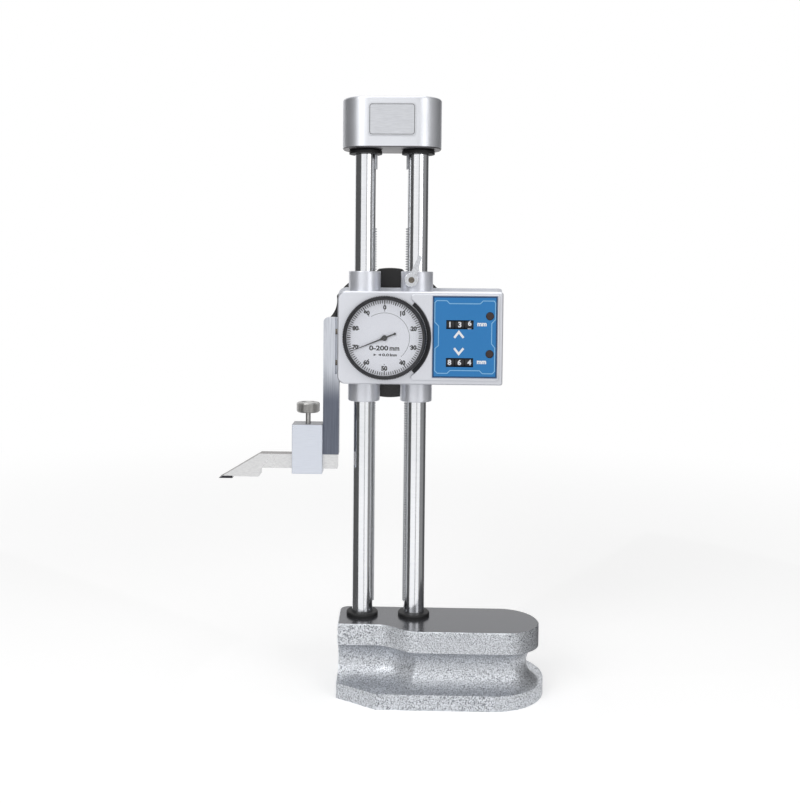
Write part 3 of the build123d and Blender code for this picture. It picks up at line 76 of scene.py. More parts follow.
def buildToolGrain():
    # fine marks left by grinding or turning, drawn out along the small axis of Stretch
    group, start, end = newGroup(
        "toolGrain",
        [("Vector", "NodeSocketVector", None), ("Stretch", "NodeSocketVector", (1.0, 1.0, 1.0)),
         ("Scale", "NodeSocketFloat", 900.0), ("Contrast", "NodeSocketFloat", 0.5)],
        [("Shade", "NodeSocketFloat"), ("Height", "NodeSocketFloat")],
    )
    nodes, links = group.nodes, group.links
    stretch = nodes.new("ShaderNodeVectorMath")
    stretch.operation = "MULTIPLY"
    noise = nodes.new("ShaderNodeTexNoise")
    noise.inputs["Detail"].default_value = 3.0
    half = nodes.new("ShaderNodeMath")
    half.operation = "SUBTRACT"
    half.inputs[1].default_value = 0.5
    gain = nodes.new("ShaderNodeMath")
    gain.operation = "MULTIPLY_ADD"
    gain.use_clamp = True
    gain.inputs[2].default_value = 0.5
    links.new(start.outputs["Vector"], stretch.inputs[0])
    links.new(start.outputs["Stretch"], stretch.inputs[1])
    links.new(stretch.outputs[0], noise.inputs["Vector"])
    links.new(start.outputs["Scale"], noise.inputs["Scale"])
    links.new(noise.outputs["Fac"], half.inputs[0])
    links.new(half.outputs[0], gain.inputs[0])
    links.new(start.outputs["Contrast"], gain.inputs[1])
    links.new(gain.outputs[0], end.inputs["Shade"])
    links.new(noise.outputs["Fac"], end.inputs["Height"])
    return group


def buildHandling():
    # broad patches where hands have dulled or polished the surface
    group, start, end = newGroup(
        "handling",
        [("Vector", "NodeSocketVector", None), ("Scale", "NodeSocketFloat", 40.0),
         ("Smooth", "NodeSocketFloat", 0.2), ("Dull", "NodeSocketFloat", 0.4)],
        [("Roughness", "NodeSocketFloat")],
    )
    nodes, links = group.nodes, group.links
    noise = nodes.new("ShaderNodeTexNoise")
    noise.inputs["Detail"].default_value = 4.0
    spread = nodes.new("ShaderNodeMapRange")
    spread.inputs["From Min"].default_value = 0.3
    spread.inputs["From Max"].default_value = 0.7
    links.new(start.outputs["Vector"], noise.inputs["Vector"])
    links.new(start.outputs["Scale"], noise.inputs["Scale"])
    links.new(noise.outputs["Fac"], spread.inputs["Value"])
    links.new(start.outputs["Smooth"], spread.inputs["To Min"])
    links.new(start.outputs["Dull"], spread.inputs["To Max"])
    links.new(spread.outputs["Result"], end.inputs["Roughness"])
    return group


def buildPaintSpeck():
    # dark flecks of a hammered or sprayed finish
    group, start, end = newGroup(
        "paintSpeck",
        [("Vector", "NodeSocketVector", None), ("Scale", "NodeSocketFloat", 900.0),
         ("Edge", "NodeSocketFloat", 0.42), ("Softness", "NodeSocketFloat", 0.06)],
        [("Mask", "NodeSocketFloat"), ("Height", "NodeSocketFloat")],
    )
    nodes, links = group.nodes, group.links
    noise = nodes.new("ShaderNodeTexNoise")
    noise.inputs["Detail"].default_value = 2.0
    low = nodes.new("ShaderNodeMath")
    low.operation = "SUBTRACT"
    spread = nodes.new("ShaderNodeMapRange")
    spread.inputs["To Min"].default_value = 1.0
    spread.inputs["To Max"].default_value = 0.0
    links.new(start.outputs["Vector"], noise.inputs["Vector"])
    links.new(start.outputs["Scale"], noise.inputs["Scale"])
    links.new(start.outputs["Edge"], low.inputs[0])
    links.new(start.outputs["Softness"], low.inputs[1])
    links.new(noise.outputs["Fac"], spread.inputs["Value"])
    links.new(low.outputs[0], spread.inputs["From Min"])
    links.new(start.outputs["Edge"], spread.inputs["From Max"])
    links.new(spread.outputs["Result"], end.inputs["Mask"])
    links.new(noise.outputs["Fac"], end.inputs["Height"])
    return group


toolGrain = buildToolGrain()
handling = buildHandling()
paintSpeck = buildPaintSpeck()


def placeGroup(tree, group, values):
    node = tree.nodes.new("ShaderNodeGroup")
    node.node_tree = group
    for label, value in values.items():
        node.inputs[label].default_value = value
    return node


def addTint(tree, source, shade, under, over, low, high):
    # multiplies a shade by a colour that runs from under to over while the source's height
    # rises from low to high; this paints shade
    split = tree.nodes.new("ShaderNodeSeparateXYZ")
    fade = tree.nodes.new("ShaderNodeMapRange")
    fade.interpolation_type = "SMOOTHSTEP"
    fade.inputs["From Min"].default_value = low
    fade.inputs["From Max"].default_value = high
    tint = tree.nodes.new("ShaderNodeMix")
    tint.data_type = "RGBA"
    tint.inputs[6].default_value = under
    tint.inputs[7].default_value = over
    shadedColour = tree.nodes.new("ShaderNodeMix")
    shadedColour.data_type = "RGBA"
    shadedColour.blend_type = "MULTIPLY"
    shadedColour.inputs[0].default_value = 1.0
    tree.links.new(source, split.inputs[0])
    tree.links.new(split.outputs["Z"], fade.inputs["Value"])
    tree.links.new(fade.outputs["Result"], tint.inputs[0])
    tree.links.new(shade, shadedColour.inputs[6])
    tree.links.new(tint.outputs[2], shadedColour.inputs[7])
    return shadedColour.outputs[2]


# what all finishes share; up and down are the heights of the normal between which the painted shade on up-
# and down-facing faces sets in
commonLook = {"patch": 35.0, "reliefDepth": 0.02 * mm, "up": (0.2, 0.4), "down": (-0.7, -0.4)}
noTint = (1, 1, 1, 1)


def makeFinish(name, dark, light, metallic, smooth, dull, grain, stretch=(1, 1, 1), contrast=1.5, bump=0.1,
               below=None, upFacingPaintedShade=None, downFacingPaintedShade=None, glass=None):
    # one metal, paint or moulding: two shades mixed by its grain, and roughness by handling;
    # the tint below darkens the piece between two heights, and the tints for faces that look up or down
    # darken those faces; all three are painted shade
    material = bpy.data.materials.new(name)
    material.use_nodes = True
    tree = material.node_tree
    shader = tree.nodes["Principled BSDF"]
    place = tree.nodes.new("ShaderNodeTexCoord")
    grainNode = placeGroup(tree, toolGrain, {"Scale": grain, "Stretch": stretch, "Contrast": contrast})
    worn = placeGroup(tree, handling, {"Scale": commonLook["patch"], "Smooth": smooth, "Dull": dull})
    shades = tree.nodes.new("ShaderNodeMix")
    shades.data_type = "RGBA"
    shades.inputs[6].default_value = dark
    shades.inputs[7].default_value = light
    relief = tree.nodes.new("ShaderNodeBump")
    relief.inputs["Strength"].default_value = bump
    relief.inputs["Distance"].default_value = commonLook["reliefDepth"]
    links = tree.links
    links.new(place.outputs["Object"], grainNode.inputs["Vector"])
    links.new(place.outputs["Object"], worn.inputs["Vector"])
    links.new(grainNode.outputs["Shade"], shades.inputs[0])
    shade = shades.outputs[2]
    if below:
        shade = addTint(tree, place.outputs["Object"], shade, below["colour"], noTint,
                        below["low"], below["high"])
    if upFacingPaintedShade:
        shade = addTint(tree, place.outputs["Normal"], shade, noTint, upFacingPaintedShade, *commonLook["up"])
    if downFacingPaintedShade:
        shade = addTint(tree, place.outputs["Normal"], shade, downFacingPaintedShade, noTint, *commonLook["down"])
    links.new(shade, shader.inputs["Base Color"])
    links.new(worn.outputs["Roughness"], shader.inputs["Roughness"])
    links.new(grainNode.outputs["Height"], relief.inputs["Height"])
    links.new(relief.outputs["Normal"], shader.inputs["Normal"])
    shader.inputs["Metallic"].default_value = metallic
    if glass:
        shader.inputs["Alpha"].default_value = glass["alpha"]
        shader.inputs["IOR"].default_value = glass["ior"]
    return material


hammeredPaint = {
    "silver": paintColour(226, 229, 234), "fleck": paintColour(84, 88, 96), "metallic": 0.7,
    "speckScale": 1900.0, "speckEdge": 0.52, "speckSoftness": 0.14,
    "relief": 0.7, "reliefDepth": 0.25 * mm, "patch": 30.0, "smooth": 0.3, "dull": 0.42,
    # the ground top face lies above this height and faces nearly straight up; its dark grey is partly its own
    # smooth ground finish and partly painted reflection
    "groundTopWithPaintedReflection": paintColour(104, 105, 109), "groundRoughness": 0.22,
    "topFace": 45.5 * mm, "nearlyLevel": 0.95,
}


def makeHammeredPaint():
    cast = hammeredPaint
    material = bpy.data.materials.new("hammeredPaint")
    material.use_nodes = True
    tree = material.node_tree
    nodes, links = tree.nodes, tree.links
    shader = nodes["Principled BSDF"]
    place = nodes.new("ShaderNodeTexCoord")
    fleck = placeGroup(tree, paintSpeck, {
        "Scale": cast["speckScale"], "Edge": cast["speckEdge"], "Softness": cast["speckSoftness"]})
    worn = placeGroup(tree, handling, {
        "Scale": cast["patch"], "Smooth": cast["smooth"], "Dull": cast["dull"]})
    paint = nodes.new("ShaderNodeMix")
    paint.data_type = "RGBA"
    paint.inputs[6].default_value = cast["silver"]
    paint.inputs[7].default_value = cast["fleck"]
    # the ground top face, told by its height and by facing up, gets a dark grey that is partly its ground
    # finish and partly painted reflection
    split = nodes.new("ShaderNodeSeparateXYZ")
    facing = nodes.new("ShaderNodeSeparateXYZ")
    high = nodes.new("ShaderNodeMath")
    high.operation = "GREATER_THAN"
    high.inputs[1].default_value = cast["topFace"]
    level = nodes.new("ShaderNodeMath")
    level.operation = "GREATER_THAN"
    level.inputs[1].default_value = cast["nearlyLevel"]
    both = nodes.new("ShaderNodeMath")
    both.operation = "MULTIPLY"
    ground = nodes.new("ShaderNodeMix")
    ground.data_type = "RGBA"
    ground.inputs[7].default_value = cast["groundTopWithPaintedReflection"]
    polish = nodes.new("ShaderNodeMix")
    polish.data_type = "FLOAT"
    polish.inputs[3].default_value = cast["groundRoughness"]
    bumpAmount = nodes.new("ShaderNodeMath")
    bumpAmount.operation = "SUBTRACT"
    bumpAmount.inputs[0].default_value = 1.0
    relief = nodes.new("ShaderNodeBump")
    relief.inputs["Strength"].default_value = cast["relief"]
    relief.inputs["Distance"].default_value = cast["reliefDepth"]
    reliefHeight = nodes.new("ShaderNodeMath")
    reliefHeight.operation = "MULTIPLY"
    links.new(place.outputs["Object"], fleck.inputs["Vector"])
    links.new(place.outputs["Object"], worn.inputs["Vector"])
    links.new(place.outputs["Object"], split.inputs[0])
    links.new(place.outputs["Normal"], facing.inputs[0])
    links.new(split.outputs["Z"], high.inputs[0])
    links.new(facing.outputs["Z"], level.inputs[0])
    links.new(high.outputs[0], both.inputs[0])
    links.new(level.outputs[0], both.inputs[1])
    links.new(fleck.outputs["Mask"], paint.inputs[0])
    links.new(both.outputs[0], ground.inputs[0])
    links.new(paint.outputs[2], ground.inputs[6])
    links.new(ground.outputs[2], shader.inputs["Base Color"])
    links.new(both.outputs[0], polish.inputs[0])
    links.new(worn.outputs["Roughness"], polish.inputs[2])
    links.new(polish.outputs[0], shader.inputs["Roughness"])
    links.new(both.outputs[0], bumpAmount.inputs[1])
    links.new(fleck.outputs["Height"], reliefHeight.inputs[0])
    links.new(bumpAmount.outputs[0], reliefHeight.inputs[1])
    links.new(reliefHeight.outputs[0], relief.inputs["Height"])
    links.new(relief.outputs["Normal"], shader.inputs["Normal"])
    shader.inputs["Metallic"].default_value = cast["metallic"]
    return material


# Shades, roughness and grain of every metal, paint and ink, under the slot that wears it. Stretch
# draws the grain out, contrast parts the two shades, and bump is how strongly the grain stands up
finishLooks = {
    "column_steel": {
        "name": "hardChrome", "dark": paintColour(226, 228, 232), "light": paintColour(242, 243, 245),
        "metallic": 1.0, "smooth": 0.09, "dull": 0.16, "grain": 600.0, "stretch": (0.15, 0.15, 6.0),
        "contrast": 1.2, "bump": 0.05,
    },
    "rack_steel": {
        "name": "rackSteel", "dark": paintColour(120, 122, 126), "light": paintColour(170, 172, 176),
        "metallic": 1.0, "smooth": 0.3, "dull": 0.45, "grain": 900.0,
    },
    "collar_rubber": {
        "name": "collarRubber", "dark": paintColour(14, 14, 15), "light": paintColour(30, 30, 32),
        "metallic": 0.0, "smooth": 0.5, "dull": 0.7, "grain": 1500.0,
    },
    "cap_paint": {
        "name": "capPaint", "dark": paintColour(208, 210, 215), "light": paintColour(226, 228, 233),
        "metallic": 0.8, "smooth": 0.38, "dull": 0.46, "grain": 2600.0, "contrast": 1.2, "bump": 0.12,
        # the down-facing tint is painted shade on the cap's underside
        "downFacingPaintedShade": paintColour(140, 137, 137),
    },
    "label_plate": {
        "name": "labelPlate", "dark": paintColour(200, 202, 207), "light": paintColour(222, 224, 229),
        "metallic": 0.3, "smooth": 0.28, "dull": 0.4, "grain": 1800.0, "stretch": (0.1, 1, 1),
    },
    "screw_steel": {
        "name": "screwSteel", "dark": paintColour(84, 80, 74), "light": paintColour(138, 130, 120),
        "metallic": 1.0, "smooth": 0.25, "dull": 0.4, "grain": 1800.0,
    },
    "slider_paint": {
        "name": "sliderPaint", "dark": paintColour(214, 216, 223), "light": paintColour(232, 234, 240),
        "metallic": 0.6, "smooth": 0.3, "dull": 0.4, "grain": 2600.0, "contrast": 1.2, "bump": 0.12,
    },
    "cover_paint": {
        # darker than the slider paint: partly its own paint, partly painted shade near the blue plate
        "name": "coverPaintWithShade", "dark": paintColour(196, 198, 203), "light": paintColour(218, 220, 225),
        "metallic": 0.4, "smooth": 0.34, "dull": 0.46, "grain": 2600.0, "contrast": 1.2, "bump": 0.12,
    },
    "bronze": {
        "name": "bearingBronze", "dark": paintColour(150, 110, 60), "light": paintColour(190, 150, 90),
        "metallic": 1.0, "smooth": 0.25, "dull": 0.4, "grain": 1200.0,
    },
    "blue_plate": {
        "name": "bluePlate", "dark": paintColour(32, 118, 184), "light": paintColour(50, 134, 200),
        "metallic": 0.1, "smooth": 0.3, "dull": 0.42, "grain": 2200.0, "contrast": 1.0, "bump": 0.05,
    },
    "black_paint": {
        "name": "caseBlack", "dark": paintColour(18, 18, 20), "light": paintColour(34, 34, 36),
        "metallic": 0.0, "smooth": 0.4, "dull": 0.55, "grain": 1600.0,
    },
    "brass_parts": {
        "name": "turnedBrass", "dark": paintColour(170, 128, 60), "light": paintColour(220, 180, 104),
        "metallic": 1.0, "smooth": 0.2, "dull": 0.36, "grain": 1500.0,
    },
    "frame_steel": {
        "name": "platedSheet", "dark": paintColour(150, 152, 156), "light": paintColour(186, 188, 192),
        "metallic": 1.0, "smooth": 0.3, "dull": 0.42, "grain": 1100.0, "stretch": (0.1, 1, 1),
    },
    "arm_steel": {
        "name": "groundArm", "dark": paintColour(188, 192, 200), "light": paintColour(224, 227, 234),
        "metallic": 0.75, "smooth": 0.26, "dull": 0.38, "grain": 900.0, "stretch": (1.6, 1.6, 0.05),
        "contrast": 2.0, "bump": 0.1,
        # the tint below is painted shade, darkening the arm lower down
        "below": {"colour": paintColour(128, 132, 142), "low": 0.186, "high": 0.212},
    },
    "clamp_steel": {
        "name": "groundClamp", "dark": paintColour(214, 219, 230), "light": paintColour(230, 235, 245),
        "metallic": 0.35, "smooth": 0.25, "dull": 0.35, "grain": 900.0, "stretch": (0.12, 5, 5),
        # the up-facing tint is painted shade on the clamp's top faces
        "contrast": 1.4, "bump": 0.08, "upFacingPaintedShade": paintColour(150, 148, 148),
    },
    "bezel_black": {
        "name": "bezelBlack", "dark": paintColour(36, 36, 38), "light": paintColour(66, 66, 70),
        "metallic": 0.6, "smooth": 0.24, "dull": 0.36, "grain": 1600.0,
    },
    "dial_paint": {
        "name": "dialPaint", "dark": paintColour(226, 228, 237), "light": paintColour(237, 239, 246),
        "metallic": 0.0, "smooth": 0.4, "dull": 0.5, "grain": 1500.0, "contrast": 1.0, "bump": 0.03,
    },
    "crystal": {
        "name": "crystalClear", "dark": (0.97, 0.98, 0.99, 1), "light": (1, 1, 1, 1), "metallic": 0.0,
        "smooth": 0.01, "dull": 0.03, "grain": 60.0, "bump": 0.0, "glass": {"alpha": 0.03, "ior": 1.49},
    },
    "pointer_black": {
        "name": "pointerBlack", "dark": paintColour(8, 8, 9), "light": paintColour(18, 18, 20),
        "metallic": 0.0, "smooth": 0.45, "dull": 0.6, "grain": 1500.0,
    },
    "gear_steel": {
        "name": "gearSteel", "dark": paintColour(130, 132, 136), "light": paintColour(176, 178, 182),
        "metallic": 1.0, "smooth": 0.25, "dull": 0.4, "grain": 1300.0,
    },
    "drum_black": {
        "name": "drumBlack", "dark": paintColour(14, 14, 16), "light": paintColour(28, 28, 31),
        "metallic": 0.0, "smooth": 0.45, "dull": 0.6, "grain": 1300.0,
    },
    "button_plastic": {
        "name": "buttonPlastic", "dark": paintColour(36, 26, 26), "light": paintColour(60, 42, 40),
        "metallic": 0.0, "smooth": 0.3, "dull": 0.42, "grain": 1500.0,
    },
    "spring_steel": {
        "name": "springSteel", "dark": paintColour(140, 142, 146), "light": paintColour(190, 192, 196),
        "metallic": 1.0, "smooth": 0.2, "dull": 0.35, "grain": 1500.0,
    },
    "handwheel_black": {
        "name": "wheelBlack", "dark": paintColour(14, 14, 15), "light": paintColour(30, 30, 32),
        "metallic": 0.0, "smooth": 0.22, "dull": 0.36, "grain": 1400.0,
    },
    "lever_chrome": {
        "name": "leverChrome", "dark": paintColour(190, 192, 196), "light": paintColour(222, 224, 228),
        "metallic": 1.0, "smooth": 0.2, "dull": 0.32, "grain": 900.0,
    },
    "scriber_steel": {
        "name": "scriberSteel", "dark": paintColour(212, 212, 213), "light": paintColour(236, 236, 236),
        "metallic": 0.45, "smooth": 0.24, "dull": 0.36, "grain": 900.0, "stretch": (0.5, 1.5, 1.5),
        # the up-facing tint is painted shade on the scriber's top faces
        "contrast": 1.8, "bump": 0.1, "upFacingPaintedShade": paintColour(132, 126, 124),
    },
    "carbide": {
        "name": "carbide", "dark": paintColour(38, 38, 42), "light": paintColour(64, 64, 70),
        "metallic": 0.8, "smooth": 0.3, "dull": 0.45, "grain": 2000.0,
    },
    "thumb_steel": {
        "name": "thumbSteel", "dark": paintColour(150, 149, 147), "light": paintColour(208, 207, 205),
        "metallic": 0.9, "smooth": 0.24, "dull": 0.38, "grain": 1500.0,
    },
    "printBlack": {
        "name": "printBlack", "dark": paintColour(6, 6, 9), "light": paintColour(14, 14, 18),
        "metallic": 0.0, "smooth": 0.5, "dull": 0.6, "grain": 1500.0, "bump": 0.02,
    },
    "printGrey": {
        "name": "printGrey", "dark": paintColour(84, 86, 92), "light": paintColour(104, 106, 112),
        "metallic": 0.0, "smooth": 0.5, "dull": 0.6, "grain": 1500.0, "bump": 0.02,
    },
    "printWhite": {
        "name": "printWhite", "dark": paintColour(240, 241, 244), "light": paintColour(250, 250, 252),
        "metallic": 0.0, "smooth": 0.4, "dull": 0.5, "grain": 1500.0, "bump": 0.02,
    },
    # painted shade for the gap between the bezel and the counter cover
    "paintedGapShadeGrey": {
        "name": "paintedGapShadeGrey", "dark": paintColour(70, 71, 74), "light": paintColour(98, 99, 103),
        "metallic": 0.4, "smooth": 0.35, "dull": 0.5, "grain": 1800.0,
    },
    # painted shade for the gap round the counter plate
    "paintedEdgeShadeBlue": {
        "name": "paintedEdgeShadeBlue", "dark": paintColour(16, 58, 98), "light": paintColour(26, 72, 116),
        "metallic": 0.0, "smooth": 0.4, "dull": 0.5, "grain": 1500.0, "bump": 0.02,
    },
    "printPaleBlue": {
        "name": "printPaleBlue", "dark": paintColour(126, 186, 228), "light": paintColour(150, 202, 236),
        "metallic": 0.0, "smooth": 0.4, "dull": 0.5, "grain": 1500.0, "bump": 0.02,
    },
}
finishes = {"cast_base": makeHammeredPaint()}
for slot, look in finishLooks.items():
    finishes[slot] = makeFinish(**look)
for entry in frame["record"]["subparts"]:
    node = frame["nodes"][entry["node"]]
    node.data.materials.clear()
    node.data.materials.append(finishes[entry["material_slot"]])


# Mesh helpers, all in metres in the frame
onAxis = 0.0001 * mm  # radius of a turned profile where it meets its axis


def addPiece(name, vertices, faces, material, body, smooth=False):
    mesh = bpy.data.meshes.new(name)
    mesh.from_pydata([tuple(v) for v in vertices], [], faces)
    mesh.validate()
    mesh.materials.append(material)
    if smooth:
        for polygon in mesh.polygons:
            polygon.use_smooth = True
    piece = bpy.data.objects.new(name, mesh)
    bpy.context.scene.collection.objects.link(piece)
    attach(piece, body)
    return piece


def latheRing(profile, count, place, ridge=None):
    # closed profile of (radius, along) turned round; place puts (radius, angle, along) in the frame
    vertices, faces = [], []
    size = len(profile)
    for step in range(count):
        angle = 2 * math.pi * step / count
        for index, (radius, along) in enumerate(profile):
            depth = ridge(index, step) if ridge else 0.0
            vertices.append(place(radius - depth, angle, along))
    for step in range(count):
        after = (step + 1) % count
        for index in range(size):
            nextIndex = (index + 1) % size
            faces.append((step * size + index, after * size + index,
                          after * size + nextIndex, step * size + nextIndex))
    return vertices, faces


def knurl(rows, depth):
    # grooves two steps wide in every four, in the given rows of a turned profile
    return lambda index, step: depth if index in rows and step % 4 in (2, 3) else 0.0


def wordShape(words, height, width=None, weight=0.0):
    # flat letters as a mesh in their own plane, centred; weight thickens their strokes
    curve = bpy.data.curves.new("letters", "FONT")
    curve.body = words
    curve.size = 1.0
    curve.resolution_u = 3
    curve.offset = weight
    holder = bpy.data.objects.new("letters", curve)
    bpy.context.scene.collection.objects.link(holder)
    bpy.context.view_layer.update()
    mesh = bpy.data.meshes.new_from_object(holder.evaluated_get(bpy.context.evaluated_depsgraph_get()))
    points = [v.co.copy() for v in mesh.vertices]
    faces = [tuple(p.vertices) for p in mesh.polygons]
    bpy.data.objects.remove(holder)
    bpy.data.curves.remove(curve)
    bpy.data.meshes.remove(mesh)
    lowX, highX = min(p.x for p in points), max(p.x for p in points)
    lowY, highY = min(p.y for p in points), max(p.y for p in points)
    scale = height / (highY - lowY)
    across = width / (highX - lowX) if width else scale
    return [((p.x - (lowX + highX) / 2) * across, (p.y - (lowY + highY) / 2) * scale) for p in points], faces


class FlatPrint:
    # gathers ink that lies in one plane facing the reader
    def __init__(self, depth):
        self.depth = depth
        self.vertices = []
        self.faces = []

    def add(self, points, faces):
        base = len(self.vertices)
        self.vertices += [(x, self.depth, z) for x, z in points]
        self.faces += [tuple(base + index for index in face) for face in faces]

    def words(self, text, height, x, z, width=None, weight=0.0):
        points, faces = wordShape(text, height, width, weight)
        self.add([(x + u, z + v) for u, v in points], faces)

    def ribbon(self, points, width, closed=False):
        sharpest = 0.4  # keeps the mitre of a sharp corner short
        count = len(points)
        edges = []
        for index in range(count):
            here = Vector(points[index])
            before = Vector(points[index - 1]) if closed or index else None
            after = Vector(points[(index + 1) % count]) if closed or index < count - 1 else None
            goingIn = (here - before).normalized() if before else (after - here).normalized()
            goingOut = (after - here).normalized() if after else goingIn
            across = Vector((-(goingIn + goingOut).y, (goingIn + goingOut).x)).normalized()
            share = max(sharpest, across.dot(Vector((-goingIn.y, goingIn.x))))
            edges.append((here + across * width / 2 / share, here - across * width / 2 / share))
        flat = [tuple(p) for pair in edges for p in pair]
        spans = range(count if closed else count - 1)
        self.add(flat, [(2 * i, 2 * i + 1, 2 * ((i + 1) % count) + 1, 2 * ((i + 1) % count)) for i in spans])

    def dot(self, x, z, radius, sides=20):
        ring = [(x + radius * math.cos(2 * math.pi * k / sides),
                 z + radius * math.sin(2 * math.pi * k / sides)) for k in range(sides)]
        self.add(ring, [tuple(range(sides))])

    def finish(self, name, material, body):
        return addPiece(name, self.vertices, self.faces, material, body)


# Dial print and knurled bezel
bezelLow, bezelHigh = (Vector(c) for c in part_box("bezel"))
dialX, dialZ = (bezelLow.x + bezelHigh.x) / 2, (bezelLow.z + bezelHigh.z) / 2
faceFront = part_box("dial_face")[0][1]
dialPrint = {
    "lift": 0.03 * mm,
    "tickOuter": 23.1 * mm, "minor": 2.0 * mm, "middle": 2.2 * mm, "major": 2.7 * mm,
    "fine": 0.42 * mm, "bold": 0.58 * mm,
    "numberRadius": 18.8 * mm, "numberHeight": 3.0 * mm, "numberWeight": 0.06,
    "dotRadius": 16.6 * mm, "dotSize": 0.32 * mm,
    "arcRadius": 15.4 * mm, "arcStart": -0.09, "arcEnd": 0.385, "arcWidth": 0.24 * mm, "arcSteps": 60,
    # text, height, its middle right of and below the dial's, width and weight
    "words": [
        ("0-200", 3.1 * mm, -3.5 * mm, 6.3 * mm, 11.8 * mm, 0.035),
        ("mm", 2.2 * mm, 6.2 * mm, 6.75 * mm, 6.0 * mm, 0.035),
        ("0.01", 1.75 * mm, 1.3 * mm, 10.5 * mm, 5.4 * mm, 0.04),
        ("mm", 1.25 * mm, 5.9 * mm, 10.75 * mm, 3.6 * mm, 0.04),
    ],
    # two arrow heads that mark the size of one division: middle and the way they point
    "arrows": [(-5.7 * mm, 1), (-3.0 * mm, -1)],
    "arrowDown": 10.5 * mm, "arrowReach": 0.95 * mm, "arrowHalf": 0.75 * mm,
}


def onDial(radius, turn):
    # turn is a share of one revolution, clockwise from the top
    angle = math.radians(90) - 2 * math.pi * turn
    return dialX + radius * math.cos(angle), dialZ + radius * math.sin(angle)


def buildDialPrint():
    ink = FlatPrint(faceFront - dialPrint["lift"])
    for tick in range(100):
        kind = "major" if tick % 10 == 0 else "middle" if tick % 5 == 0 else "minor"
        width = dialPrint["bold"] if tick % 5 == 0 else dialPrint["fine"]
        ink.ribbon([onDial(dialPrint["tickOuter"], tick / 100),
                    onDial(dialPrint["tickOuter"] - dialPrint[kind], tick / 100)], width)
    for number in range(10):
        x, z = onDial(dialPrint["numberRadius"], number / 10)
        ink.words(str(number * 10), dialPrint["numberHeight"], x, z, weight=dialPrint["numberWeight"])
        ink.dot(*onDial(dialPrint["dotRadius"], number / 10), dialPrint["dotSize"])
    for text, height, right, down, width, weight in dialPrint["words"]:
        ink.words(text, height, dialX + right, dialZ - down, width, weight)
    half = dialPrint["arrowHalf"]
    for middle, way in dialPrint["arrows"]:
        x, z, reach = dialX + middle, dialZ - dialPrint["arrowDown"], way * dialPrint["arrowReach"]
        ink.add([(x - reach, z - half), (x + reach, z), (x - reach, z + half)], [(0, 1, 2)])
    ink.finish("dial_figures", finishes["printBlack"], "bezel")
    arc = FlatPrint(faceFront - dialPrint["lift"])
    first, last, steps = dialPrint["arcStart"], dialPrint["arcEnd"], dialPrint["arcSteps"]
    arc.ribbon([onDial(dialPrint["arcRadius"], first + (last - first) * k / steps) for k in range(steps + 1)],
               dialPrint["arcWidth"])
    arc.finish("dial_arc", finishes["printGrey"], "bezel")


# Black cap over the middle of the pointer, and a dark grey wall between bezel and counter cover that is
# painted shade of the gap there
hubCap = {
    "radius": 1.75 * mm, "cover": 0.15 * mm, "sides": 40,
    # shares of its radius and of its depth, from the back to the crown
    "dome": [(1.0, 0.0), (1.0, 0.4), (0.8, 0.85), (0.4, 1.0)],
}
# reach is in degrees above and below the right
paintedGapShade = {"inner": 26.15 * mm, "outer": 28.5 * mm, "reach": 50.0, "steps": 60, "rise": 0.15 * mm}


def buildHubCap():
    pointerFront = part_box("pointer")[0][1]
    radius, depth = hubCap["radius"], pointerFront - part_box("pointer_arbor")[0][1] + hubCap["cover"]
    dome = [(out * radius, -along * depth) for out, along in hubCap["dome"]]
    profile = [(onAxis, 0.0), *dome, (onAxis, -depth)]
    vertices, faces = latheRing(
        profile, hubCap["sides"],
        lambda reach, angle, along: (dialX + reach * math.cos(angle), pointerFront + along,
                                     dialZ + reach * math.sin(angle)),
    )
    cap = addPiece("pointer_hub_cap", vertices, faces, finishes["pointer_black"], "pointer", smooth=True)


def buildDialWell():
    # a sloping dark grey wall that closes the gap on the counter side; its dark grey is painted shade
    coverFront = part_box("counter_cover")[0][1] + paintedGapShade["rise"]
    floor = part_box("counter_cover")[1][1] - paintedGapShade["rise"]
    profile = [(paintedGapShade["inner"], floor), (paintedGapShade["outer"], coverFront), (paintedGapShade["outer"], floor)]
    vertices, faces = [], []
    steps = paintedGapShade["steps"]
    for step in range(steps + 1):
        angle = math.radians(paintedGapShade["reach"]) * (2 * step / steps - 1)
        for radius, along in profile:
            vertices.append((dialX + radius * math.cos(angle), along, dialZ + radius * math.sin(angle)))
    for step in range(steps):
        for index in range(3):
            after = (index + 1) % 3
            faces.append((3 * step + index, 3 * step + 3 + index, 3 * step + 3 + after, 3 * step + after))
    faces += [(0, 1, 2), (3 * steps + 2, 3 * steps + 1, 3 * steps)]
    gapShade = addPiece("dial_gap_painted_shade", vertices, faces, finishes["paintedGapShadeGrey"], "slider")


# the bezel: a knurled rim, a sloping lip round the window, and the groove behind it that holds the face
bezelShape = {
    "ridges": 160, "ridgeDepth": 0.45 * mm,
    "backSlope": (0.5 * mm, 0.45 * mm), "frontSlope": (0.75 * mm, 1.1 * mm), "rimWidth": 1.3 * mm,
    "lipRadius": 23.45 * mm, "lipFall": 0.25 * mm, "windowRadius": 23.3 * mm, "windowDepth": 0.9 * mm,
    "grooveRadius": 25.1 * mm, "backRadius": 24.1 * mm, "backWall": 0.7 * mm,
}


